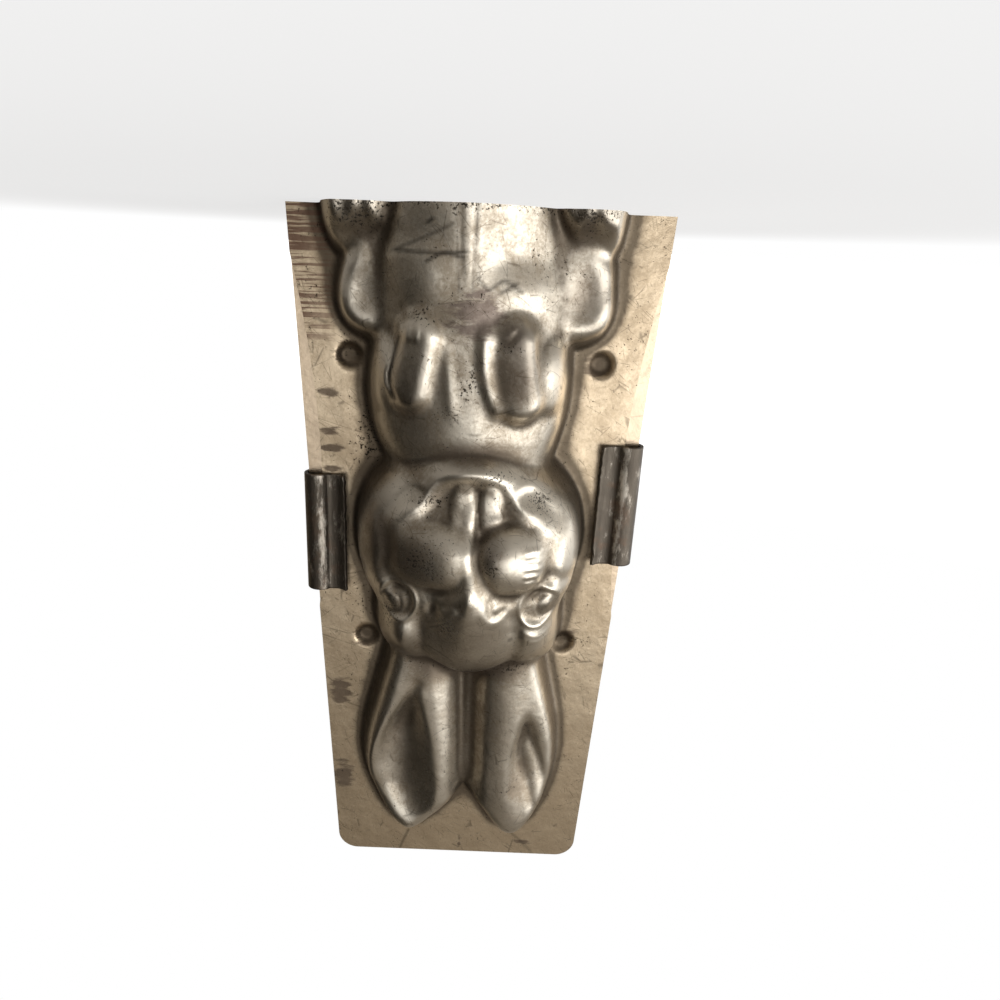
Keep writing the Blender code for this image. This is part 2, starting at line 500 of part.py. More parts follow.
def outline_cutter(name, half_width, collection):
    """A block with the plate's outline, used to trim a pressed sheet."""
    steps = 24
    heights = [PLATE_LENGTH * i / steps for i in range(steps)]
    side = [(float(half_width(z)), z) for z in heights if z < PLATE_LENGTH - PLATE_CORNER]
    corner_x = float(half_width(PLATE_LENGTH - PLATE_CORNER)) - PLATE_CORNER
    corner_z = PLATE_LENGTH - PLATE_CORNER
    turns = 8
    for i in range(turns + 1):
        angle = math.pi / 2 * i / turns
        side.append((corner_x + PLATE_CORNER * math.cos(angle), corner_z + PLATE_CORNER * math.sin(angle)))
    outline = side + [(-x, z) for x, z in reversed(side)]

    curve = bpy.data.curves.new(name, "CURVE")
    curve.dimensions = "2D"
    curve.fill_mode = "BOTH"
    curve.extrude = TRIM_REACH
    spline = curve.splines.new("POLY")
    spline.points.add(len(outline) - 1)
    spline.use_cyclic_u = True
    for point, (x, z) in zip(spline.points, outline):
        point.co = (x, z, 0.0, 1.0)
    drawn = bpy.data.objects.new(name + "_drawn", curve)
    drawn.rotation_euler = (math.pi / 2, 0.0, 0.0)
    collection.objects.link(drawn)
    bpy.context.view_layer.update()
    evaluated = drawn.evaluated_get(bpy.context.evaluated_depsgraph_get())
    mesh = bpy.data.meshes.new_from_object(evaluated)
    block = bpy.data.objects.new(name, mesh)
    block.matrix_world = drawn.matrix_world
    bpy.data.objects.remove(drawn)
    welded = bmesh.new()
    welded.from_mesh(mesh)
    bmesh.ops.remove_doubles(welded, verts=welded.verts, dist=0.00001)
    bmesh.ops.recalc_face_normals(welded, faces=welded.faces)
    welded.to_mesh(mesh)
    welded.free()
    collection.objects.link(block)
    block.hide_render = True
    block.display_type = "WIRE"
    return block


def pressed_half(name, relief, facing, dimple_wider, half_width, keep, finish, collections):
    """One pressed half: a grid drawn out to the figure, thinned, given its thickness and trimmed.

    facing is -1 for the front half and 1 for the back half. The dimples go the same way in both.
    """
    parts, cutters = collections
    width = 2 * (PLATE_HALF_BASE + TRIM_MARGIN)
    length = PLATE_LENGTH + 2 * TRIM_MARGIN
    columns, rows = round(width / GRID_STEP), round(length / GRID_STEP)
    sheet = bmesh.new()
    bmesh.ops.create_grid(sheet, x_segments=columns, y_segments=rows, size=0.5)
    places = np.array([vertex.co for vertex in sheet.verts])
    x = places[:, 0] * width
    z = places[:, 1] * length + PLATE_LENGTH / 2
    y = facing * (PLATE_FACE + relief(x, z)) + dimples(x, z, dimple_wider)
    for vertex, place in zip(sheet.verts, zip(x, y, z)):
        vertex.co = place
    bmesh.ops.recalc_face_normals(sheet, faces=sheet.faces)
    if sheet.faces[0].normal.y * facing < 0:
        bmesh.ops.reverse_faces(sheet, faces=sheet.faces)
    mesh = bpy.data.meshes.new(name)
    sheet.to_mesh(mesh)
    sheet.free()
    mesh.materials.append(finish)
    half = bpy.data.objects.new(name, mesh)
    parts.objects.link(half)

    thin = half.modifiers.new("fewer_faces", "DECIMATE")
    thin.ratio = keep
    thick = half.modifiers.new("thickness", "SOLIDIFY")
    thick.thickness = SHEET
    thick.offset = -1.0
    trim = half.modifiers.new("outline", "BOOLEAN")
    trim.operation = "INTERSECT"
    trim.solver = "MANIFOLD"     # EXACT leaves nothing of the front sheet
    trim.object = outline_cutter(name + "_outline", half_width, cutters)
    mesh.shade_smooth()
    return half


def clip_section():
    """Middle line of the clip's sheet, from one lip round the roll to the other, as (x, y) points.

    The roll's middle is at (0, 0), and the lips point along -X.
    """
    grip_y = PLATE_FACE + FIT_GAP + CLIP_SHEET / 2
    opening = math.asin(grip_y / CLIP_ROLL_RADIUS)
    neck_x = -CLIP_ROLL_RADIUS * math.cos(opening)
    points = [(neck_x - CLIP_GRIP - CLIP_LIP, grip_y + CLIP_LIP_RISE), (neck_x - CLIP_GRIP, grip_y)]
    for i in range(CLIP_ARC_STEPS + 1):
        angle = (math.pi - opening) * (1 - 2 * i / CLIP_ARC_STEPS)
        points.append((CLIP_ROLL_RADIUS * math.cos(angle), CLIP_ROLL_RADIUS * math.sin(angle)))
    points += [(neck_x - CLIP_GRIP, -grip_y), (neck_x - CLIP_GRIP - CLIP_LIP, -grip_y - CLIP_LIP_RISE)]
    return points


def spring_clip(name, side, middle_z, finish, parts):
    """A spring clip, pushed over both plates' edges from the side (1 for +X, -1 for -X)."""
    curve = bpy.data.curves.new(name + "_section", "CURVE")
    curve.dimensions = "2D"
    curve.fill_mode = "NONE"
    curve.extrude = CLIP_LENGTH / 2
    points = clip_section()
    spline = curve.splines.new("POLY")
    spline.points.add(len(points) - 1)
    for point, (x, y) in zip(spline.points, points):
        point.co = (x * side, y, 0.0, 1.0)
    drawn = bpy.data.objects.new(name + "_drawn", curve)
    parts.objects.link(drawn)
    bpy.context.view_layer.update()
    evaluated = drawn.evaluated_get(bpy.context.evaluated_depsgraph_get())
    mesh = bpy.data.meshes.new_from_object(evaluated)
    bpy.data.objects.remove(drawn)
    clip = bpy.data.objects.new(name, mesh)
    mesh.materials.clear()
    mesh.materials.append(finish)
    widest = float(plate_half_width(middle_z - CLIP_LENGTH / 2))
    clip.location = (side * (widest + FIT_GAP + CLIP_SHEET / 2 - CLIP_ROLL_RADIUS), 0.0, middle_z)
    parts.objects.link(clip)
    thick = clip.modifiers.new("thickness", "SOLIDIFY")
    thick.thickness = CLIP_SHEET
    thick.offset = 0.0
    thick.use_even_offset = True
    mesh.shade_smooth()
    return clip


def main():
    """Build the four pieces."""
    for old in list(bpy.data.objects):
        bpy.data.objects.remove(old)
    parts = bpy.data.collections.new("rabbit_chocolate_mould")
    cutters = bpy.data.collections.new("cutters")
    for collection in (parts, cutters):
        bpy.context.scene.collection.children.link(collection)
    tin = material("old_tinplate", (0.42, 0.37, 0.32), 0.32)
    back_tin = material("old_tinplate_back", (0.50, 0.44, 0.39), 0.35)
    steel = material("blackened_steel", (0.10, 0.09, 0.085), 0.45)

    pressed_half("front_half", front_relief, -1, 0.0, front_half_width, FRONT_KEEP, tin, (parts, cutters))
    shift = (SHEET + PARTING_GAP + SHEET) * math.tan(math.pi / 8)
    pressed_half("back_half", back_relief, 1, shift + DIMPLE_LOOSENESS, plate_half_width, BACK_KEEP, back_tin,
                 (parts, cutters))
    spring_clip("spring_clip_right", 1, RIGHT_CLIP_Z, steel, parts)
    spring_clip("spring_clip_left", -1, LEFT_CLIP_Z, steel, parts)


main()
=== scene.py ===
"""A two-part pressed tin mould for a chocolate rabbit, held by two spring clips, standing on a pale studio floor."""

import logging
import math
from collections.abc import Sequence
from dataclasses import dataclass, field
from enum import Enum
from functools import reduce

import bmesh
import bpy
import numpy as np
from mathutils import Matrix, Vector

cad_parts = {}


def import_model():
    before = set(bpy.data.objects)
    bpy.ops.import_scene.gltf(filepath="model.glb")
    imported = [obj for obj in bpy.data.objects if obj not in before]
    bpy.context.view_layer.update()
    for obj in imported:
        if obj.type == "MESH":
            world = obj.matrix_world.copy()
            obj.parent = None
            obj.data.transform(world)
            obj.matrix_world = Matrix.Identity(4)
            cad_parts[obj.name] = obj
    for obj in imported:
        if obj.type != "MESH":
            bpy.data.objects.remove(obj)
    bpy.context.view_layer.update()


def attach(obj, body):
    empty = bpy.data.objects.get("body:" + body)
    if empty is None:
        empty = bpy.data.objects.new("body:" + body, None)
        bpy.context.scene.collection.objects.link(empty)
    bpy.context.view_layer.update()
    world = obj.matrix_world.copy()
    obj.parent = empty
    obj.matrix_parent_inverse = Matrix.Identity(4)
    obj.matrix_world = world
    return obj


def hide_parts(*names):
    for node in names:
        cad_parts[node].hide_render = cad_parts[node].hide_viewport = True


LOG = logging.getLogger("chocolate_mould")
MM = 0.001
SHARP_ANGLE = math.radians(55.0)

Field = np.ndarray
Pair = tuple[float, float]
Points = Sequence[Pair]
Line = tuple[float, float, Points]
Triple = tuple[float, float, float]
Colour = Triple
Socket = bpy.types.NodeSocket
WHITE: Colour = (1.0, 1.0, 1.0)

# Outlines of the figure, (x, z) in millimetres.
RIGHT_EAR = (
    (-7, 92), (-7, 112), (-6, 128), (-4.2, 139), (-1.2, 145), (1.2, 148.1), (5.1, 152.8), (9.1, 157.2), (12.6, 159.1),
    (15.9, 158), (19.5, 153.8), (22.5, 147.2), (24.8, 139.9), (25.5, 132.5), (24.4, 123.6), (22, 113.8),
    (19.3, 102.5), (17.5, 90.7))
LEFT_EAR = (
    (6, 92), (6, 112), (5, 128), (2.6, 139), (-1.2, 145), (-4.7, 149.1), (-7.9, 154.2), (-11, 158), (-14.6, 159.2),
    (-18.1, 157.2), (-21.4, 151.5), (-23.8, 144), (-25, 134.9), (-24.5, 125.6), (-22.6, 116.2), (-20.5, 107.4),
    (-19.1, 100.5), (-17.5, 90.7))
HEAD = (
    (-1.6, 108), (4, 107.2), (8.6, 104.8), (13.6, 103.8), (18.4, 101.8), (21.3, 97.6), (22, 92.6), (21.9, 88.6),
    (22.6, 85.4), (24.2, 82), (25.8, 77.4), (26.3, 71.5), (25.6, 65.4), (23.4, 59.6), (19.9, 55), (15.2, 51),
    (9, 47.6), (3, 45.6), (-2.6, 45.5), (-8.4, 47.4), (-14.4, 50.8), (-19.2, 54.8), (-22.8, 59), (-25.2, 63.8),
    (-26.3, 70), (-26.2, 75.6), (-25.2, 80.6), (-23.5, 85.2), (-23, 89.4), (-23.3, 94), (-23, 98.8), (-21, 102.4),
    (-16.6, 104.4), (-11.6, 104.8), (-7.6, 106.6))
JAW = (
    (-22.4, 80), (-22.8, 73), (-21.8, 65.5), (-18.4, 59.6), (-12.6, 54.6), (-6.4, 51.2), (-1, 50), (4.6, 50.8),
    (11.4, 54.2), (17.2, 58.8), (21.4, 65), (22.8, 73), (22.2, 80))
MOUTH = (
    (-9.6, 61.4), (-5, 63), (-0.4, 63.4), (4.6, 62.4), (8.8, 61), (9.2, 58), (7.6, 55.4), (4.6, 53.5), (0.8, 52.6),
    (-2.6, 52.8), (-6.4, 54.2), (-9, 56.6), (-10.2, 59.2))
LEFT_CORNER = (
    (-19, 64.2), (-16.6, 61.4), (-13.4, 59.6), (-10, 58.6), (-9.2, 55.6), (-12.8, 54.8), (-16.6, 57.2), (-19, 60.6))
RIGHT_CORNER = (
    (17.6, 63.8), (15.8, 61.4), (13, 59.6), (9.6, 58.8), (8.8, 55.6), (12.2, 54.8), (15.6, 57.2), (17.6, 60.6))
LEFT_HAUNCH = (
    (-10, 27.4), (-20, 27.4), (-25, 26.2), (-28, 23.6), (-29.3, 19.6), (-29, 14.6), (-28.2, 9), (-24, 2), (-10, 2))
RIGHT_HAUNCH = (
    (12, 27.2), (21, 27.2), (26, 25.8), (29, 23), (30.2, 19), (29.8, 14), (28.4, 9), (25, 2), (12, 2))
LEFT_FOOT = (
    (-10.6, -9), (-11.8, -1), (-14.6, 3.4), (-18, 7.4), (-21.6, 9.6), (-25, 10), (-27.8, 8.8), (-29.4, 5.6), (-30, 1),
    (-30.2, -9))
RIGHT_FOOT = (
    (12.6, -9), (13.8, -1), (16.4, 3.6), (19.8, 7.6), (23.2, 9.8), (27, 10.2), (30.2, 8.6), (32.2, 5), (33, 1),
    (33.2, -9))

# Lines pressed up or down: height, width to each side, points.
EAR_VALLEY = ((-1.6, 144), (-1.4, 128), (-1.2, 112), (-1.2, 100))
EAR_LINES: Sequence[Line] = (
    (-0.7, 1.3, ((-23.2, 143), (-20.8, 134), (-17.6, 125))),
    (-0.9, 1.5, ((11, 109), (14, 115), (17, 120.4))))
FACE_LINES: Sequence[Line] = (
    (-0.9, 2.4, ((-9.8, 103), (-11.6, 96), (-11.6, 90), (-10.6, 84))),
    (-0.9, 2.4, ((7.6, 103), (9.8, 96), (10.2, 90), (9.6, 85))),
    (0.8, 1.7, ((-0.6, 78), (-0.5, 72), (-0.4, 66), (-0.2, 60))),
    (-1, 2.8, ((-15.6, 78.4), (-17.8, 74.6), (-18, 70.4), (-18.8, 66.4), (-19.4, 63), (-15.8, 58.6), (-10.6, 54.6))),
    (-1, 2.8, ((15.8, 78.2), (17.8, 74.6), (17.8, 70.4), (17.9, 66.4), (17.9, 62.8), (14.8, 58.2), (10.4, 54.4))),
    (-0.9, 2.2, ((-26, 77.4), (-21.6, 76.6), (-17.6, 74.4))),
    (-0.8, 2.2, ((26, 77.4), (21.4, 76.6), (18, 74.4))))
FACE_DETAILS: Sequence[Line] = (
    (-0.6, 1.3, ((-8, 81.6), (-6.4, 82.4), (-5.2, 81), (-4.8, 78.8))),
    (0.3, 1.6, ((-6.6, 84.2), (-5, 83.6), (-4, 82), (-3.8, 79.6))),
    (0.3, 1.8, ((2.6, 79.6), (4, 82), (5, 84.4))),
    (-0.4, 1.3, ((1.4, 80.2), (2.8, 79.4), (4.6, 80.6))),
    (0.5, 4, ((-10.6, 54), (-7, 51.2), (-2.8, 49.6), (1, 49.4), (5.2, 50.6), (9, 53.2))),
    (-0.8, 1.2, ((-13, 63.4), (-9, 62.2), (-5, 63.4), (-2.4, 65.4))),
    (0.35, 0.6, ((-21.2, 88.6), (-17, 89.8), (-12.8, 88.4))),
    (0.35, 0.6, ((-21.2, 90), (-17, 91.2), (-12.6, 89.8))),
    *((0.6, 0.6, ((-15.4, level + 0.5), (-14, level - 0.1), (-12.4, level - 0.2)))
      for level in (76.2, 74.2, 72.4, 70.6, 68.8, 67)))
LIMB_LINES: Sequence[Line] = (
    (1.5, 1.9, ((-4.8, 39), (-3.2, 35), (-2, 29.5), (-1.9, 23.5))),
    (0.5, 1.6, ((4.4, 39), (5.2, 33), (6, 25))))
LIMB_DETAILS: Sequence[Line] = (
    (-0.6, 0.7, ((16, 37.6), (17.6, 34.2), (16.8, 30), (15.4, 25))),
    (0.5, 0.6, ((17.2, 36.4), (18.4, 33.4), (17.6, 30))),
    (-0.4, 0.7, ((-8.6, 22), (-6.6, 24.6), (-4.4, 25.4))),
    *((0.45, 0.7, ((finger, 25), (finger - 0.2, 21.8))) for finger in (11.8, 13.6, 15.4)))
TOES: Sequence[Line] = (
    (1.2, 1.3, ((-27.4, -3), (-27, 1.2), (-25.4, 3.6), (-23.4, 1.6), (-23, -3))),
    (1.2, 1.3, ((-20.6, -3), (-20.2, 1.6), (-18.6, 3.2), (-16.6, 1.2), (-16.2, -3))),
    (1.2, 1.3, ((17, -3), (17.4, 1.6), (19, 3.6), (21, 1.8), (21.4, -3))),
    (1.2, 1.3, ((24.2, -3), (24.6, 2), (26.4, 4), (28.4, 2), (28.8, -3))))

# Rounded mounds: height, middle, half width and height, and for some their lean and squareness.
FACE_MOUNDS = (
    (2, (-1.2, 94), (12, 14)), (1.4, (-16.6, 91.4), (8.4, 8), 0.15), (2.2, (15.6, 91.2), (6.8, 7), -0.15),
    (2.2, (-0.8, 50.4), (12, 6)))
NOSTRIL = ((-0.9, (7.2, 82.4), (2, 3.6), 0.25),)
BELLY_MOUNDS = ((0.7, (-8.8, 14.5), (7, 8)), (0.8, (11, 13.5), (7.5, 9)))
HAUNCH_DISHES = ((-1.1, (-22.6, 16.8), (5, 7.6), 0.1, 2.6), (-0.88, (24.2, 17), (4.6, 7.4), -0.1, 2.6))

# Dishes of the ears: depth, where it is deepest, inner and outer edge by height, and where it runs out.
EAR_DISHES = (
    (4.8, 0.56, ((108, 114, 120, 127, 140, 152, 158, 161), (10.6, 9.8, 8.6, 7, 5.4, 5.8, 8, 11)),
     ((108, 114, 119, 123, 127, 131, 135, 143, 150, 156, 160),
      (11.4, 14.6, 17.5, 19.8, 21.6, 23, 24, 24, 22, 18.2, 14.4)), (108, 124), (160, 142)),
    (2.6, 0.3, ((116, 122, 130, 140), (-16.2, -14.6, -12.8, -12.4)),
     ((116, 122, 130, 138, 146), (-17, -20.2, -23.6, -25.2, -24.6)), (115, 124), (152, 132)))

# Marks on the front half: amount from 0 to 1, then as for mounds or lines.
STAINS = (
    (1, (31.2, 145.5), (5, 9)), (1, (31.8, 119), (5.4, 8.5)), (1, (32.8, 58), (4, 1.9)), (1, (32.8, 53), (4.4, 1.6)),
    (1, (33, 49), (4.6, 1.7)), (1, (33, 40), (4.4, 2)), (1, (-18.2, 166.5), (5.5, 2)), (1, (-0.8, 167), (1, 4.5)),
    (1, (0.5, 20), (11, 9)), (1, (28.5, 30.9), (5, 5)), (1, (-27.3, 31.9), (5, 5)), (1, (25.6, 103.3), (5, 5)),
    (1, (-26, 100.2), (5, 5)))
PITS = (
    (1, (1.4, 33), (3.2, 6)), (1, (-6, 26), (4.5, 2.4)), (1, (-4.4, 69), (3.4, 8)), (1, (10.4, 20), (5, 4)),
    (1, (-15, 58), (5, 4.5)), (1, (8, 58), (7, 4)), (1, (-4, 53), (8, 4)), (1, (9.5, 71), (8, 8)),
    (1, (-0.8, 103), (18, 5)), (1, (24, 2), (9, 5)), (1, (-21, 2), (9, 5)), (1, (4, 86), (5, 6)),
    (1, (0, 0), (40, 2.5)), (1, (17, 84), (5, 8)), (1, (6, 40), (6, 4)), (1, (24, 50), (6, 9)))
# Dark patches, partly dirt and patina and partly painted shade: they darken the right-facing pad, cheek and brow and
# the upward-facing crown, and paint a shadow under the chin.
GRIME_AND_SHADE = (
    (0.9, (11.5, 70), (10, 11)), (0.9, (-4.6, 67), (5, 7)), (0.9, (-6.7, 23), (5, 5)), (1, (-8.8, 31), (7.5, 12)),
    (0.4, (12.4, 31), (6.5, 9.5)), (0.4, (15, 36), (6, 8)), (0.6, (-17.4, 82.5), (5, 5)), (0.6, (15.8, 82.5), (5, 5)),
    (0.9, (-0.8, 101), (20, 8)), (0.2, (-0.8, 90), (12, 12)), (0.75, (-23, 16), (7, 11)), (0.9, (-21, 3), (10, 7)),
    (0.7, (24, 3), (10, 7)), (0.5, (-6.5, 120), (6, 18)), (0.5, (-14.5, 142), (6, 15)), (0.35, (14, 134), (8, 18)),
    (0.4, (10, 42), (9, 6)), (1, (21, 66), (8, 18)), (1, (-0.8, 48), (14, 4.5)), (0.8, (-0.8, 105), (22, 6)),
    (0.7, (15, 95), (9, 9)), (0.5, (9, 55), (8, 6)))
SCRATCHES: Sequence[Line] = (
    (0.8, 0.62, ((2.8, 9.6), (6.9, 9), (10.1, 10.5))), (0.8, 0.62, ((2.4, 8.5), (9, 8.9), (16, 8.7))),
    (0.6, 0.62, ((5.1, 3.7), (11, 6.4), (16.9, 8.7))), (1, 0.62, ((9, 3), (9.8, 3.5))),
    (0.7, 0.62, ((-8.5, 15.6), (-5, 13.6), (-2, 15.2), (0, 13.2))), (0.6, 0.62, ((-7.4, 14), (-4.4, 15.8))),
    (0.55, 0.62, ((0.5, 0), (0.9, 8), (1, 15.5))), (0.55, 0.62, ((4.6, 0), (4.2, 8), (3.6, 15.5))),
    (0.5, 0.62, ((-21.4, 170), (-18, 166), (-15, 163))), (0.6, 0.62, ((16, 170), (13.6, 163.6))),
    (1, 0.62, ((16.2, 37.2), (17.4, 33.6), (16.8, 30), (15.5, 25))))
# Pale bands painted as highlights on the lit crescents beside the mouth and on the lower lip: amount, width, points.
PAINTED_HIGHLIGHT_LINES: Sequence[Line] = (
    (1, 3.4, ((-19, 62), (-16, 58), (-12, 56.2))), (1, 3.4, ((17.4, 61.4), (15, 58), (11.6, 56.2))),
    (1, 3.4, ((-9, 54), (-4, 51.6), (1, 51.2), (6, 52.6))))


def smooth_line(points: Points, closed: bool, per_span: int = 5) -> Field:
    """Draws a smooth curve through given points.

    Args:
        points: The (x, z) points, in millimetres.
        closed: Whether the curve returns to its start.
        per_span: Steps between two neighbouring points.

    Returns:
        The curve's points, one row each.
    """
    given = np.array(points, dtype=float)
    if closed:
        padded = np.vstack([given[-1:], given, given[:2]])
    else:
        padded = np.vstack([2 * given[:1] - given[1:2], given, 2 * given[-1:] - given[-2:-1]])
    steps = np.linspace(0.0, 1.0, per_span, endpoint=False)[:, None]
    spans = [0.5 * (2 * b + (c - a) * steps + (2 * a - 5 * b + 4 * c - d) * steps ** 2
                    + (3 * b - a - 3 * c + d) * steps ** 3)
             for a, b, c, d in zip(padded, padded[1:], padded[2:], padded[3:])]
    curve = np.vstack(spans)
    return curve if closed else np.vstack([curve, given[-1:]])


def hill(distance: Field, width: float) -> Field:
    """A smooth rounded ridge, 1 at distance 0, gone at the given width."""
    return np.clip(1.0 - (distance / width) ** 2, 0.0, 1.0) ** 2


def swell(away: Field, fullness: float = 2.0) -> Field:
    """A full rounded pad over an oval, 1 in the middle and gone at the rim, with steep sides."""
    return np.sqrt(np.clip(1.0 - np.clip(away, 0.0, 1.0) ** fullness, 0.0, 1.0))


def join(a: Field, b: Field, fillet: float) -> Field:
    """The higher of two surfaces, with the crease between them filled over a height of fillet."""
    share = np.clip(0.5 + 0.5 * (a - b) / fillet, 0.0, 1.0)
    return b + (a - b) * share + fillet * share * (1.0 - share)


def ease(value: Field, low: float, high: float) -> Field:
    """Runs smoothly from 0 at low to 1 at high."""
    share = np.clip((value - low) / (high - low), 0.0, 1.0)
    return share * share * (3.0 - 2.0 * share)


def falling(away: Field, slope: float, rounding: float) -> Field:
    """How far a surface has fallen that starts to slope, softly, where away turns positive."""
    return slope * (away + np.sqrt(away ** 2 + rounding))


def raised(inside: Field, rise: float, wall: float, fullness: float = 2.2) -> Field:
    """A form pressed up within an outline, rounded over near its edge and level further in.

    Args:
        inside: Depth inside the outline.
        rise: Height of the level part.
        wall: How far in the form reaches its full height.
        fullness: How soon it rises: 2 is a quarter circle.

    Returns:
        The height, running down below the plate outside the outline.
    """
    share = np.clip(inside / wall, 0.0, 1.0)
    return np.where(inside > 0.0, rise * (1.0 - (1.0 - share) ** fullness) ** (1.0 / fullness), inside * 2.0)


def hollow(share: Field, deepest: float) -> Field:
    """A dish across a form: 0 at both its sides, where share is 0 and 1, and 1 where it is deepest."""
    share, early, late = np.clip(share, 0.0, 1.0), 2 * deepest, 2 - 2 * deepest
    return ((share / deepest) ** early * ((1.0 - share) / (1.0 - deepest)) ** late) ** 1.4


def blurred(height: Field, step: float, spread: float) -> Field:
    """Softens a grid of heights, as pressed sheet can't follow a sharp corner.

    Args:
        height: The heights, in millimetres.
        step: Distance between grid points.
        spread: Reach of the softening.

    Returns:
        The softened heights.
    """
    reach = int(3 * spread / step) + 1
    kernel = np.exp(-0.5 * (np.arange(-reach, reach + 1) * step / spread) ** 2)
    kernel /= kernel.sum()
    for axis in (0, 1):
        padding = [(reach, reach) if axis == along else (0, 0) for along in (0, 1)]
        padded = np.pad(height, padding, mode="edge")
        height = np.apply_along_axis(lambda line: np.convolve(line, kernel, "valid"), axis, padded)
    return height


@dataclass(frozen=True)
class Places:
    """The places of a grid on a half, in millimetres: x across it and z up it."""

    x: Field
    z: Field

    def distance(self, curve: Field) -> Field:
        """Measures how far each place lies from a drawn curve.

        Args:
            curve: The curve's points, one row each.

        Returns:
            The distances, in millimetres.
        """
        nearest = np.full(self.x.shape, np.inf)
        for (ax, az), (bx, bz) in zip(curve, curve[1:]):
            run_x, run_z = bx - ax, bz - az
            along = ((self.x - ax) * run_x + (self.z - az) * run_z) / (run_x ** 2 + run_z ** 2)
            along = np.clip(along, 0.0, 1.0)
            nearest = np.minimum(nearest, (self.x - ax - along * run_x) ** 2 + (self.z - az - along * run_z) ** 2)
        return np.sqrt(nearest)

    def inside(self, points: Points) -> Field:
        """Measures how far each place lies inside a closed outline.

        Args:
            points: The outline's points.

        Returns:
            The depths, negative outside the outline.
        """
        curve = smooth_line(points, closed=True)
        loop = np.vstack([curve, curve[:1]])
        within = np.zeros(self.x.shape, dtype=bool)
        for (ax, az), (bx, bz) in zip(loop, loop[1:]):
            if az != bz:
                crosses = (az > self.z) != (bz > self.z)
                within ^= crosses & (self.x < ax + (self.z - az) / (bz - az) * (bx - ax))
        away = self.distance(loop)
        return np.where(within, away, -away)

    def oval(self, centre: Pair, half: Pair, lean: float = 0.0, squareness: float = 2.0) -> Field:
        """Measures the share of the way from an oval's middle to its rim.

        Args:
            centre: Its middle.
            half: Half its width and height.
            lean: Its lean in radians, from +Z towards +X.
            squareness: 2 for an ellipse, more for a squarer shape.

        Returns:
            The shares, 1 on the rim.
        """
        dx, dz = self.x - centre[0], self.z - centre[1]
        across = np.abs(dx * math.cos(lean) - dz * math.sin(lean)) / half[0]
        along = np.abs(dx * math.sin(lean) + dz * math.cos(lean)) / half[1]
        return (across ** squareness + along ** squareness) ** (1.0 / squareness)

    def ridge(self, points: Points, width: float) -> Field:
        """A rounded ridge along a given line."""
        return hill(self.distance(smooth_line(points, closed=False)), width)

    def roll(self, points: Points, radius: float, fullness: float = 2.8) -> Field:
        """A full bar along a given line, 1 along its top and gone at the radius, with steep sides."""
        return swell(self.distance(smooth_line(points, closed=False)) / radius, fullness)

    def lines(self, drawn: Sequence[Line]) -> Field:
        """The sum of ridges, each given by its height, width and points."""
        return sum(rise * self.ridge(points, width) for rise, width, points in drawn)

    def mounds(self, drawn: Sequence[tuple]) -> Field:
        """The sum of rounded mounds, each given by its height and its oval."""
        return sum(rise * hill(self.oval(*shape), 1.0) for rise, *shape in drawn)

    def ramp(self, heights: Sequence[float], values: Sequence[float]) -> Field:
        """A value that changes with the height, straight between the given ones."""
        return np.interp(self.z, heights, values)


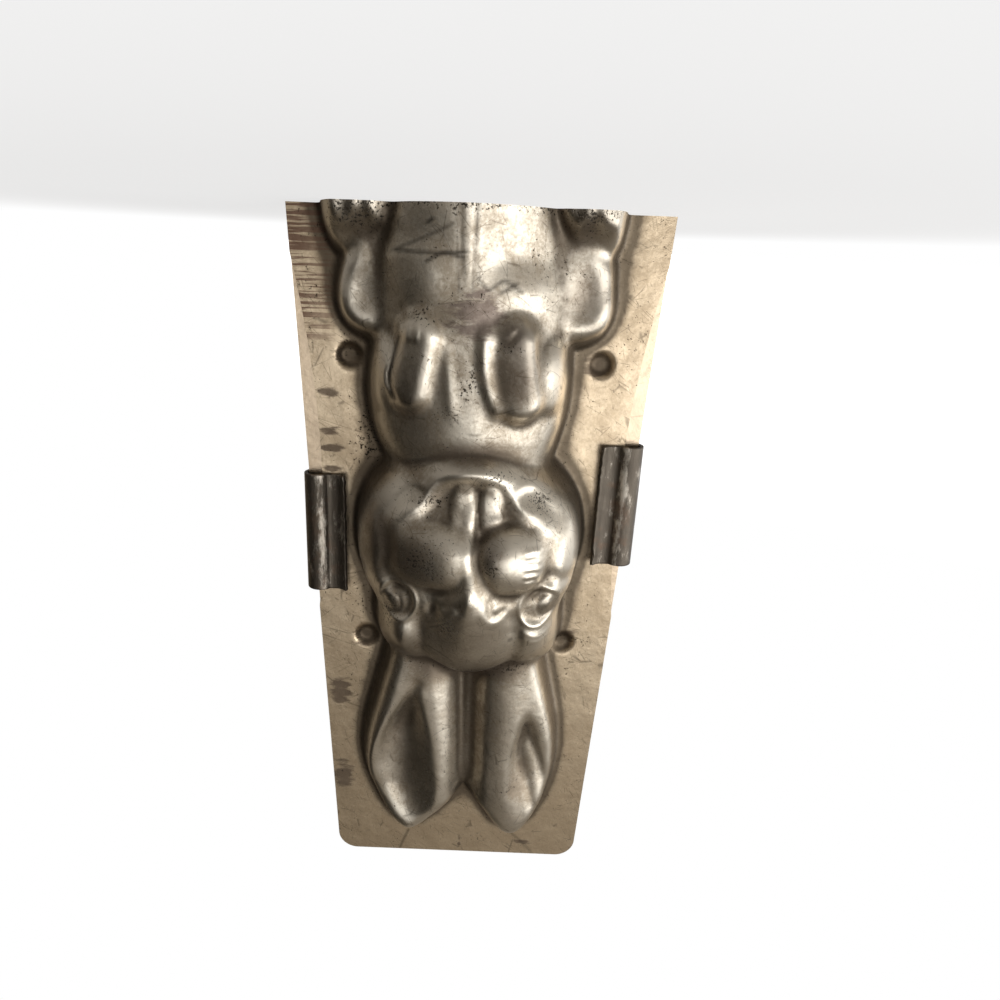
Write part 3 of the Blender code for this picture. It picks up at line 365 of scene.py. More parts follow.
@dataclass(frozen=True)
class RabbitForm:
    """Heights of the rabbit above the flange, as the die pressed them, all in millimetres."""

    body_rise: float = 20.0
    back_rise: float = 25.0
    head_dome: float = 4.6
    ear_rise: float = 10.5
    haunch_rise: float = 11.0
    foot_rise: float = 15.5
    pad_rise: float = 5.4
    arm_rise: float = 3.4
    tooth_rise: float = 1.3
    mouth_depth: float = 1.7
    tail_rise: float = 3.5
    neck_fillet: float = 2.0
    figure_fillet: float = 1.6

    def ears(self, at: Places, dished: bool) -> Field:
        """Works out both ears.

        Args:
            at: The places.
            dished: Whether they are hollowed, as on the front half.

        Returns:
            Their height.
        """
        x, z = at.x, at.z
        tall = at.ramp((100, 125, 145, 156, 162), (1.08, 1, 0.94, 0.84, 0.7))
        right_crest = at.ramp((104, 118, 130, 140, 150, 157, 162), (8, 6.6, 5.2, 5, 6.6, 9, 13))
        left_crest = at.ramp((104, 118, 130, 142, 150, 157, 162), (-10, -10.4, -10.4, -10.8, -11.8, -13, -14.6))
        right_top = self.ear_rise + 0.8 - falling(right_crest - x, 0.42 / 1.3, 5.0)
        left_top = self.ear_rise + 1.0 - falling(x - left_crest, 0.28 / 1.3, 18.0)
        left_top = left_top - falling(left_crest - 2.0 - x, 0.30 / 1.6, 4.0)
        surface = join(np.minimum(raised(at.inside(RIGHT_EAR), self.ear_rise, 5.0, 2.0), right_top),
                       np.minimum(raised(at.inside(LEFT_EAR), self.ear_rise, 5.0, 2.0), left_top), 1.0) * tall
        if not dished:
            return surface
        surface = surface - 3.2 * at.ridge(EAR_VALLEY, 5.4) + 1.1 * at.ridge(EAR_VALLEY, 1.3) * ease(z, 143.0, 136.0)
        for depth, deepest, inner_edge, outer_edge, foot, top in EAR_DISHES:
            inner, outer = at.ramp(*inner_edge), at.ramp(*outer_edge)
            share = (x - inner) / (outer - inner)
            surface = surface - depth * ease(z, *foot) * ease(z, *top) * hollow(share, deepest)
        fold = at.ridge(((-20.6, 151), (-18.4, 142), (-15.8, 131), (-15.6, 126)), 1.3) * ease(z, 152.0, 146.0)
        return surface - 0.7 * fold + at.lines(EAR_LINES)

    def head(self, at: Places) -> Field:
        """Works out skull, cheeks and chin, the same for both halves.

        Args:
            at: The places.

        Returns:
            Their height.
        """
        inside = at.inside(HEAD)
        rise = at.ramp((45, 50, 60, 70, 81, 86, 92, 98, 103, 107),
                       (15.2, 16.2, 17, 17.6, 17.6, 16.8, 14.8, 12.4, 10.4, 9.6))
        across = np.clip(1.0 - ((at.x + 0.8) / 25.0) ** 2, 0.0, 1.0)
        skull = raised(inside, 1.0, at.ramp((46, 62), (5, 10)), 2.3) * np.where(inside > 0.0, rise, 1.0)
        return skull + self.head_dome * across * ease(inside, 0.0, 8.0)

    def face_forms(self, at: Places) -> Field:
        """Works out the broad forms pressed up on the front of the head.

        Args:
            at: The places.

        Returns:
            Their height above the skull.
        """
        x = at.x
        left_pad = swell(at.oval((-9.3, 70.2), (7.8, 7.8), -0.15, 2.3), 2.2) * (1.0 + 0.012 * (x + 9.3))
        right_pad = swell(at.oval((7.3, 70.0), (9.3, 7.2), 0.1, 2.8), 2.6) * (1.02 - 0.036 * np.maximum(x, 0.0))
        nose_half = at.ramp((71, 75, 78, 81, 84, 86.5, 90, 96), (1.8, 5.2, 8.2, 10.2, 11.2, 10.6, 9, 7.6))
        nose_rise = at.ramp((70, 73, 76, 79, 82, 85, 88, 92, 98), (2.4, 4.4, 5.6, 5.8, 5.2, 4, 2.8, 1.5, 0.2))
        nose = nose_rise * ease(at.z, 68.0, 72.0) * np.clip(1.0 - (np.abs(x + 0.8) / nose_half) ** 1.8, 0.0, 1.0) ** 1.5
        muzzle = join(self.pad_rise * join(left_pad, right_pad, 0.06), nose, 2.0)
        return muzzle + 0.4 * at.roll(JAW, 6.0) + at.mounds(FACE_MOUNDS) + at.lines(FACE_LINES)

    def face_details(self, at: Places) -> Field:
        """Works out the small sharp shapes of the face.

        Args:
            at: The places.

        Returns:
            Their height above its broad forms.
        """
        left_eye = self.eye(at, (-16.3, 81.8), (4.6, 4.9), (-18.1, 81.8))
        right_eye = self.eye(at, (15.3, 81.6), (4.3, 4.9), (16.8, 82.4))
        return left_eye + right_eye + self.mouth(at) + at.mounds(NOSTRIL) + at.lines(FACE_DETAILS)

    def eye(self, at: Places, centre: Pair, half: Pair, ball: Pair) -> Field:
        """Works out an eye: a raised rim round a sunk almond with a ringed ball in it.

        Args:
            at: The places.
            centre: Middle of the almond.
            half: Half its width and height.
            ball: Middle of the ball.

        Returns:
            Its height above the face.
        """
        away = at.oval(centre, half, 0.12, 2.2)
        pressed = 0.32 * hill(away - 1.0, 0.11) - 1.1 * ease(away, 0.98, 0.7) - 0.15 * hill(away - 1.18, 0.12)
        from_ball = at.oval(ball, (2.2, 2.9))
        pressed = pressed + swell(from_ball) - 0.3 * hill(from_ball - 0.55, 0.2)
        return pressed + 0.35 * hill(from_ball - 1.35, 0.16) * ease(away, 1.0, 0.85)

    def mouth(self, at: Places) -> Field:
        """Works out the open grin with its two long teeth.

        Args:
            at: The places.

        Returns:
            Its height above the face.
        """
        corners = np.maximum(ease(at.inside(LEFT_CORNER), -0.6, 1.8), ease(at.inside(RIGHT_CORNER), -0.6, 1.8))
        bowl = self.mouth_depth * np.maximum(ease(at.inside(MOUTH), -2.6, 3.6), 0.55 * corners)
        left_tooth = swell(at.oval((-4.6, 60.6), (2.6, 6.4), -0.1, 2.6), 2.0)
        right_tooth = swell(at.oval((1.2, 60.4), (2.9, 6.6), -0.03, 2.6), 2.0)
        return self.tooth_rise * np.maximum(left_tooth, right_tooth) * ease(at.z, 66.0, 61.0) - bowl

    def body(self, at: Places, rise: float) -> Field:
        """Works out the trunk from the base to the neck, round across.

        Args:
            at: The places.
            rise: Its height along the middle.

        Returns:
            Its height.
        """
        left = at.ramp((-9, 0, 10, 27, 33, 38, 43, 47.5, 51.5, 60),
                       (-16, -17.5, -20, -20.6, -20.9, -21.1, -20.6, -19.5, -18.4, -17))
        right = at.ramp((-9, 0, 10, 27, 33, 38, 44, 48, 52.8, 60), (18, 19.6, 22, 22.8, 23.5, 23.9, 23.2, 22.1, 20, 18))
        middle, half = (left + right) / 2, (right - left) / 2
        across = np.abs(at.x - middle) / half
        chest = at.ramp((0, 20, 34, 42, 46, 50, 55, 64), (1, 1, 0.995, 0.985, 0.97, 0.93, 0.84, -1))
        dome = np.clip(1.0 - across ** at.ramp((10, 17, 24), (4.4, 3.2, 2.5)), 0.0, 1.0) ** (1.0 / 2.2)
        from_middle = at.x - at.ramp((10, 25), (2.2, 0.6))
        fall = np.where(from_middle < 0.0, at.ramp((10, 16, 24), (0.40, 0.24, 0.13)),
                        at.ramp((10, 16, 24), (0.22, 0.18, 0.13)))
        keel = np.sqrt(from_middle ** 2 + 4.0) - 2.0
        inside = np.minimum((1.0 - across) * half, 64.0 - at.z)
        flare = 1.7 * ease(at.z, 14.0, -3.0)
        return np.where(inside > 0.0, (rise + flare - fall * keel) * dome * chest, inside * 2.0)

    def limb_forms(self, at: Places) -> Field:
        """Works out arms and chest folds on the front of the trunk.

        Args:
            at: The places.

        Returns:
            Their height above the trunk.
        """
        left_arm = at.roll(((-9.6, 36.4), (-8.4, 31.5), (-7.6, 25)), 4.9, 5.0) * (1.0 - 0.17 * (at.x + 8.0))
        left_upper = swell(at.oval((-16.4, 32.6), (4.9, 8.0), 0.1), 1.8)
        right_arm = at.roll(((13.6, 35.6), (12.4, 30), (11.4, 24.6)), 4.6)
        right_upper = swell(at.oval((19.4, 33.0), (3.8, 8.4)), 1.8)
        left = join(self.arm_rise * left_arm, 3.6 * left_upper, 0.6)
        right = join(self.arm_rise * right_arm, 2.6 * right_upper, 0.5)
        return left + right + at.lines(LIMB_LINES) + at.mounds(BELLY_MOUNDS)

    def limb_details(self, at: Places) -> Field:
        """Works out fingers, the torn crease of one arm and the seam at the base.

        Args:
            at: The places.

        Returns:
            Their height above the limbs.
        """
        line = 2.3 + 0.05 * (8.0 - at.z)
        seam = (hill(at.x - line + 1.5, 0.8) + hill(at.x - line - 1.3, 0.8)) * ease(at.z, 16.5, 11.0)
        return at.lines(LIMB_DETAILS) - 0.22 * seam

    def haunches(self, at: Places) -> Field:
        """The folded thighs beside the trunk, dished on top."""
        thighs = (raised(at.inside(outline), self.haunch_rise, 5.0, 2.4) for outline in (LEFT_HAUNCH, RIGHT_HAUNCH))
        return np.maximum(*thighs) + at.mounds(HAUNCH_DISHES)

    def feet(self, at: Places, toes: bool) -> Field:
        """Works out the feet at the base.

        Args:
            at: The places.
            toes: Whether they have toes, as on the front half.

        Returns:
            Their height.
        """
        left, right = (raised(at.inside(outline), self.foot_rise, 6.5) for outline in (LEFT_FOOT, RIGHT_FOOT))
        instep = self.foot_rise + 1.0 - 0.85 * np.maximum(at.z, 0.0)
        surface = np.minimum(np.maximum(left, right), instep)
        return surface + at.lines(TOES) if toes else surface

    def figure(self, at: Places, front: bool) -> tuple[Field, Field]:
        """Works out the height of a half's outer surface above its flange.

        Args:
            at: The places.
            front: Whether it is the front half.

        Returns:
            The broad forms, and the small details that lie on them.
        """
        surface = self.body(at, self.body_rise if front else self.back_rise)
        details = np.zeros_like(at.x)
        if front:
            surface = surface + self.limb_forms(at)
        surface = join(surface, self.haunches(at), 1.6)
        surface = join(surface, self.feet(at, front), 0.9)
        surface = join(surface, self.ears(at, front), self.neck_fillet)
        head = self.head(at)
        if front:
            head = head + self.face_forms(at)
            on_head = ease(head - surface, -1.0, 1.0)
            details = self.face_details(at) * on_head + self.limb_details(at) * (1.0 - on_head)
        else:
            surface = surface + self.tail_rise * swell(at.oval((0.8, 17.0), (11.0, 11.0)))
        surface = join(surface, head, self.neck_fillet)
        return join(surface, np.zeros_like(surface), self.figure_fillet), details


class Facing(Enum):
    """Which way a half bulges along Y."""

    FRONT = -1
    BACK = 1


class Graph:
    """Adds nodes to one node tree. Any value may be a plain one to set, or a socket to link from."""

    def __init__(self, tree: bpy.types.NodeTree) -> None:
        """Keeps the tree."""
        self.tree = tree

    def feed(self, node: bpy.types.Node, values: dict) -> None:
        """Sets or links inputs of a node.

        Args:
            node: The node.
            values: The values, by the input's name or number.
        """
        for name, value in values.items():
            socket = node.inputs[name]
            if isinstance(value, Socket):
                self.tree.links.new(value, socket)
            elif isinstance(value, tuple) and len(value) == 3 and socket.type == "RGBA":
                socket.default_value = (*value, 1.0)
            else:
                socket.default_value = value

    def add(self, kind: str, values: dict | None = None, **settings: object) -> bpy.types.Node:
        """Adds a node.

        Args:
            kind: Its type.
            values: The values of its inputs.
            **settings: Its properties.

        Returns:
            The node.
        """
        node = self.tree.nodes.new(kind)
        for name, value in settings.items():
            setattr(node, name, value)
        self.feed(node, values or {})
        return node

    def math(self, operation: str, a: object, b: object, clamp: bool = False) -> Socket:
        """The result of a Math node."""
        return self.add("ShaderNodeMath", {0: a, 1: b}, operation=operation, use_clamp=clamp).outputs[0]

    def plus(self, *values: object) -> Socket:
        """The sum of the values."""
        return reduce(lambda a, b: self.math("ADD", a, b), values)

    def minus(self, a: object, b: object, clamp: bool = False) -> Socket:
        """The first value less the second."""
        return self.math("SUBTRACT", a, b, clamp)

    def times(self, *values: object) -> Socket:
        """The product of the values."""
        return reduce(lambda a, b: self.math("MULTIPLY", a, b), values)

    def most(self, *values: object) -> Socket:
        """The greatest of the values."""
        return reduce(lambda a, b: self.math("MAXIMUM", a, b), values)

    def blend(self, share: object, a: object, b: object, blend_type: str = "MIX") -> Socket:
        """Mixes two colours."""
        values = {"Factor": share, "A": a, "B": b}
        return self.add("ShaderNodeMix", values, data_type="RGBA", blend_type=blend_type).outputs["Result"]

    def level(self, value: object, low: float, high: float, to_low: float = 0.0, to_high: float = 1.0) -> Socket:
        """Spreads a range of values smoothly to another range, clamped."""
        values = {"Value": value, "From Min": low, "From Max": high, "To Min": to_low, "To Max": to_high}
        return self.add("ShaderNodeMapRange", values, interpolation_type="SMOOTHSTEP").outputs["Result"]

    def noise(self, vector: object, scale: object, detail: float = 3.0, roughness: float = 0.55,
              distortion: float = 0.0) -> Socket:
        """The values of a noise texture."""
        values = {"Vector": vector, "Scale": scale, "Detail": detail, "Roughness": roughness, "Distortion": distortion}
        return self.add("ShaderNodeTexNoise", values).outputs["Fac"]

    def stretched(self, vector: object, turn: Triple = (0.0, 0.0, 0.0), scale: Triple = (1.0, 1.0, 1.0)) -> Socket:
        """Turns and stretches coordinates."""
        return self.add("ShaderNodeMapping", {"Vector": vector, "Rotation": turn, "Scale": scale}).outputs["Vector"]

    def spot(self, name: str) -> Socket:
        """Reads a value stored on the mesh."""
        return self.add("ShaderNodeAttribute", attribute_name=name).outputs["Fac"]

    def mask(self, tree: bpy.types.NodeTree, **values: object) -> Socket:
        """Places a shared group and returns its mask."""
        return self.add("ShaderNodeGroup", values, node_tree=tree).outputs["Mask"]

    def bump(self, shader: bpy.types.Node, height: Socket, strength: float, depth: float) -> None:
        """Gives a shader fine relief, its depth in millimetres."""
        values = {"Strength": strength, "Distance": depth * MM, "Height": height}
        self.feed(shader, {"Normal": self.add("ShaderNodeBump", values).outputs["Normal"]})


def mask_group(name: str, **amounts: float) -> tuple[Graph, bpy.types.NodeOutputs, bpy.types.Node]:
    """Starts a node group that turns coordinates and amounts into a mask.

    Args:
        name: The group's name.
        **amounts: Name and default of each amount it takes.

    Returns:
        The group's graph, what is given to it, and its output node.
    """
    tree = bpy.data.node_groups.new(name, "ShaderNodeTree")
    tree.interface.new_socket(name="Vector", in_out="INPUT", socket_type="NodeSocketVector")
    for label, value in amounts.items():
        tree.interface.new_socket(name=label, in_out="INPUT", socket_type="NodeSocketFloat").default_value = value
    tree.interface.new_socket(name="Mask", in_out="OUTPUT", socket_type="NodeSocketFloat")
    graph = Graph(tree)
    return graph, graph.add("NodeGroupInput").outputs, graph.add("NodeGroupOutput")


def pitting_group() -> bpy.types.NodeTree:
    """Makes black pits where the tin has gone.

    Returns:
        The group, whose mask is 1 in a pit.
    """
    graph, given, out = mask_group("tin pitting", Size=900.0, Amount=0.3)
    fine = graph.noise(given["Vector"], given["Size"], 4.0, 0.65)
    area = graph.noise(given["Vector"], 95.0, 3.0, 0.6)
    threshold = graph.minus(0.80, graph.times(given["Amount"], 0.24))
    threshold = graph.minus(threshold, graph.times(graph.minus(area, 0.5), 0.35))
    graph.feed(out, {"Mask": graph.level(graph.minus(fine, threshold), 0.0, 0.05)})
    return graph.tree


def hairline_group() -> bpy.types.NodeTree:
    """Makes short fine scratches in all directions.

    Returns:
        The group, whose mask is 1 in a scratch.
    """
    graph, given, out = mask_group("hairline scratches", Amount=0.5)
    lines = []
    for turn, size, width in ((0.5, 260.0, 0.016), (-0.7, 340.0, 0.020), (1.9, 430.0, 0.026), (2.7, 300.0, 0.018)):
        turned = graph.stretched(given["Vector"], (0.0, turn, 0.0))
        values = {"Vector": graph.stretched(turned, scale=(0.16, 0.6, 1.0)), "Scale": size}
        cells = graph.add("ShaderNodeTexVoronoi", values, feature="DISTANCE_TO_EDGE")
        line = graph.level(cells.outputs["Distance"], 0.0, width, 1.0, 0.0)
        lines.append(graph.times(line, graph.level(graph.noise(given["Vector"], size * 0.6, 2.0), 0.54, 0.62)))
    graph.feed(out, {"Mask": graph.times(graph.most(*lines), given["Amount"])})
    return graph.tree


def patina_group() -> bpy.types.NodeTree:
    """Makes cloudy dulling at three sizes.

    Returns:
        The group, whose mask is 0 where the tin is clean and 1 where it is dull.
    """
    graph, given, out = mask_group("tin patina", Cover=0.5)
    broad = graph.noise(given["Vector"], 48.0, 3.0, 0.6, 0.8)
    middle = graph.noise(given["Vector"], 210.0, 4.0, 0.65, 0.6)
    fine = graph.noise(given["Vector"], 1500.0, 4.0, 0.75)
    total = graph.plus(graph.times(broad, 0.40), graph.times(middle, 0.32), graph.times(fine, 0.28),
                       graph.minus(given["Cover"], 0.5))
    graph.feed(out, {"Mask": graph.level(total, 0.38, 0.62)})
    return graph.tree


@dataclass(frozen=True)
class Effects:
    """The node groups that the materials share."""

    pitting: bpy.types.NodeTree = field(default_factory=pitting_group)
    hairlines: bpy.types.NodeTree = field(default_factory=hairline_group)
    patina: bpy.types.NodeTree = field(default_factory=patina_group)


def new_material(name: str) -> tuple[bpy.types.Material, Graph, bpy.types.Node, Socket]:
    """Starts a material.

    Args:
        name: Its name.

    Returns:
        The material, its graph, its shader and the object's coordinates.
    """
    made = bpy.data.materials.new(name)
    made.use_nodes = True
    graph = Graph(made.node_tree)
    return made, graph, made.node_tree.nodes["Principled BSDF"], graph.add("ShaderNodeTexCoord").outputs["Object"]


@dataclass(frozen=True)
class TinFinish:
    """Old tinplate, polished on high spots, stained and pitted, with patina and painted shade in creases, painted
    highlights and a painted warm reflection.
    """

    name: str
    bright: Colour = (0.68, 0.62, 0.52)
    dull: Colour = (0.36, 0.30, 0.225)
    # Warm tint of the flat plate: a painted warm reflection.
    flange: Colour = (1.0, 0.89, 0.75)
    # Dark brown for the hollows: patina there, and painted shade in recesses, along the feet of the forms and on steep
    # walls; also the colour of the fine scratches.
    crease: Colour = (0.10, 0.078, 0.055)
    # Dark brown laid over the dark patches, for patina and dirt and for painted shade.
    tarnish_and_shade: Colour = (0.12, 0.094, 0.072)
    stain: Colour = (0.22, 0.17, 0.145)
    blot: Colour = (0.13, 0.095, 0.07)
    pit: Colour = (0.03, 0.025, 0.02)
    stroke: Colour = (0.15, 0.085, 0.06)
    cover: float = 0.5
    pits: float = 0.6
    scratches: float = 0.5
    roughness: Pair = (0.34, 0.5)
    pit_size: float = 1700.0
    stain_edge: Pair = (0.35, 0.85)
    crease_and_shade_edge: Pair = (0.18, 0.95)
    relief: float = 0.35

    def build(self, effects: Effects) -> bpy.types.Material:
        """Builds the material.

        Args:
            effects: The shared node groups.

        Returns:
            The finished material.
        """
        made, graph, shader, place = new_material(self.name)
        crease, rub, stain, grime = (graph.spot(name) for name in ("crease", "rub", "stain", "grime"))
        flange, comb, scratch, pitted = (graph.spot(name) for name in ("flange", "comb", "scratch", "pitted"))
        patina = graph.mask(effects.patina, Vector=place, Cover=self.cover)
        # The dark patches also dull the tin, partly for dirt and partly as painted shade.
        dull = graph.minus(graph.plus(patina, graph.times(grime, 0.6)), graph.times(rub, 0.7), clamp=True)
        pits = graph.mask(effects.pitting, Vector=place, Size=self.pit_size,
                          Amount=graph.plus(graph.times(pitted, 0.55), self.pits))
        hairlines = graph.mask(effects.hairlines, Vector=place, Amount=self.scratches)

        # The flat plate is dulled less, and tinted warmer as a painted warm reflection.
        dull = graph.times(dull, graph.level(flange, 0.0, 1.0, 1.0, 0.55))
        colour = graph.blend(dull, self.bright, self.dull)
        colour = graph.blend(flange, colour, graph.blend(1.0, colour, self.flange, "MULTIPLY"))
        ragged = graph.noise(graph.stretched(place, (0.0, 0.15, 0.0), (180.0, 300.0, 620.0)), 1.0, 4.0, 0.65)
        stained = graph.level(graph.plus(stain, graph.times(graph.minus(ragged, 0.5), 2.2)), *self.stain_edge)
        stained = graph.times(stained, graph.level(stain, 0.02, 0.3))
        broken = graph.noise(place, 420.0, 4.0, 0.6)
        # Painted shade and patina: the crease value, broken up by noise, sets where the dark crease colour goes.
        crease_and_shade = graph.level(graph.plus(crease, graph.times(graph.minus(broken, 0.5), 0.5)), *self.crease_and_shade_edge)
        strokes = graph.noise(graph.stretched(place, (0.0, 0.05, 0.0), (55.0, 60.0, 1250.0)), 1.0, 3.0, 0.55)
        strokes = graph.times(graph.level(strokes, 0.47, 0.56), comb)
        # Overlays in turn: stains, the crease colour (patina and painted shade), dark patches (dirt and painted shade),
        # scratches, comb strokes, lines and pits.
        for share, over in (
                (graph.times(stained, 0.8), graph.blend(flange, self.stain, self.blot)),
                (graph.times(crease_and_shade, 0.85), self.crease), (graph.times(grime, 0.8), self.tarnish_and_shade),
                (hairlines, self.crease), (graph.times(strokes, 0.9), self.stroke),
                (graph.times(scratch, 0.85), self.pit), (graph.times(pits, 0.85), self.pit)):
            colour = graph.blend(share, colour, over)

        rough = graph.level(dull, 0.0, 1.0, *self.roughness)
        rough = graph.plus(rough, graph.times(graph.most(crease_and_shade, stained), 0.12))
        rough = graph.math("ADD", rough, graph.times(pits, 0.3), clamp=True)
        graph.feed(shader, {"Base Color": colour, "Metallic": 1.0, "Roughness": rough})
        height = graph.plus(graph.times(graph.noise(place, 140.0, 3.0, 0.5), 0.6),
                            graph.times(graph.noise(place, 800.0, 4.0, 0.65), 0.13))
        height = graph.minus(graph.minus(height, graph.times(pits, 0.06)), graph.times(hairlines, 0.03))
        graph.bump(shader, height, 1.0, self.relief)
        return made


@dataclass(frozen=True)
class BlackSteelFinish:
    """Blackened spring steel, speckled with bright bare metal, more thickly in two painted highlight bands that run the
    length of the roll.
    """

    name: str
    black: Colour = (0.10, 0.084, 0.066)
    # Bright bare metal, also laid on as the painted highlight bands along the roll.
    worn_and_sheen: Colour = (0.50, 0.45, 0.38)
    rust: Colour = (0.16, 0.095, 0.06)
    pit: Colour = (0.02, 0.017, 0.015)
    pit_size: float = 1400.0
    worn_and_sheen_edge: Pair = (0.53, 0.74)
    relief: float = 0.25

    def build(self, effects: Effects) -> bpy.types.Material:
        """Builds the material.

        Args:
            effects: The shared node groups.

        Returns:
            The finished material.
        """
        made, graph, shader, place = new_material(self.name)
        speckle = graph.noise(graph.stretched(place, scale=(1.0, 1.0, 0.3)), 520.0, 6.0, 0.75)
        # Bright metal speckles, thicker in the painted highlight bands along the roll.
        worn_and_sheen = graph.level(graph.plus(speckle, graph.times(graph.spot("rub"), 0.16)), *self.worn_and_sheen_edge)
        pits = graph.mask(effects.pitting, Vector=place, Size=self.pit_size, Amount=0.3)
        rust = graph.times(graph.level(graph.noise(place, 240.0, 3.0), 0.52, 0.7), 0.35)
        colour = graph.blend(rust, graph.blend(worn_and_sheen, self.black, self.worn_and_sheen), self.rust)
        graph.feed(shader, {"Base Color": graph.blend(pits, colour, self.pit), "Metallic": 0.85,
                            "Roughness": graph.level(speckle, 0.3, 0.75, 0.5, 0.3)})
        graph.bump(shader, graph.minus(speckle, graph.times(pits, 0.3)), 0.8, self.relief)
        return made


@dataclass(frozen=True)
class FloorFinish:
    """A pale matt floor that turns to plain white away from the mould."""

    name: str = "studio_floor_paint"
    colour: Colour = (0.92, 0.92, 0.92)
    shaded: Colour = (0.9, 0.9, 0.9)
    near: float = 0.08
    far: float = 0.24

    def build(self) -> bpy.types.Material:
        """Builds the material.

        Returns:
            The finished material.
        """
        made, graph, shader, place = new_material(self.name)
        grain = graph.level(graph.noise(place, 35.0, 2.0), 0.3, 0.7, 0.985, 1.0)
        graph.feed(shader, {"Roughness": 0.9, "Base Color": graph.blend(grain, self.shaded, self.colour)})
        away = graph.add("ShaderNodeVectorMath", {0: place}, operation="LENGTH").outputs["Value"]
        white = graph.add("ShaderNodeEmission", {"Color": WHITE, "Strength": 1.0})
        seen = graph.add("ShaderNodeLightPath").outputs["Is Camera Ray"]
        share = graph.times(graph.level(away, self.near, self.far, 0.72, 1.0), seen)
        mixed = graph.add("ShaderNodeMixShader", {0: share, 1: shader.outputs["BSDF"], 2: white.outputs["Emission"]})
        graph.feed(made.node_tree.nodes["Material Output"], {"Surface": mixed.outputs["Shader"]})
        return made


def new_object(name: str, shape: bmesh.types.BMesh) -> bpy.types.Object:
    """Puts a shape into the scene, and frees it.

    Args:
        name: Name of the object and its mesh.
        shape: The shape.

    Returns:
        The object.
    """
    mesh = bpy.data.meshes.new(name)
    shape.to_mesh(mesh)
    shape.free()
    thing = bpy.data.objects.new(name, mesh)
    bpy.context.scene.collection.objects.link(thing)
    return thing


def with_modifiers_applied(thing: bpy.types.Object) -> bpy.types.Object:
    """Turns an object's modifiers into mesh, smooth apart from its sharp rims.

    Args:
        thing: The object.

    Returns:
        The same object.
    """
    bpy.context.view_layer.update()
    evaluated = thing.evaluated_get(bpy.context.evaluated_depsgraph_get())
    mesh = bpy.data.meshes.new_from_object(evaluated)
    thing.modifiers.clear()
    thing.data = mesh
    mesh.name = thing.name
    mesh.shade_smooth()
    mesh.set_sharp_from_angle(angle=SHARP_ANGLE)
    return thing


def standing_on_floor(half: bpy.types.Object) -> bpy.types.Object:
    """Trims what the sheet's thickness pushed below the base.

    Args:
        half: The half, with its base at Z 0.

    Returns:
        The same half.
    """
    places = np.empty(len(half.data.vertices) * 3)
    half.data.vertices.foreach_get("co", places)
    places[2::3] = np.maximum(places[2::3], 0.0)
    half.data.vertices.foreach_set("co", places)
    half.data.update()
    return half


@dataclass
class PlateOutline:
    """Outline of a half's plate, in millimetres."""

    length: float = 170.5
    half_base: float = 41.2
    half_top: float = 33.0
    corner: float = 5.0
    corner_steps: int = 15
    bow: float = 0.0
    bow_at: float = 52.0
    bow_span: float = 84.0

    def taper(self, z: Field) -> Field:
        """Half the width between the straight sides at a height."""
        return self.half_base + (self.half_top - self.half_base) * z / self.length

    def half_width(self, z: Field) -> Field:
        """Works out half the plate's width, with its bow and its round corners.

        Args:
            z: The heights.

        Returns:
            The half width at each height.
        """
        bow = self.bow * np.clip(1.0 - (2.0 * (z - self.bow_at) / self.bow_span) ** 2, 0.0, 1.0)
        into = np.clip(z - (self.length - self.corner), 0.0, self.corner)
        return self.taper(z) - bow - self.corner + np.sqrt(self.corner ** 2 - into ** 2)


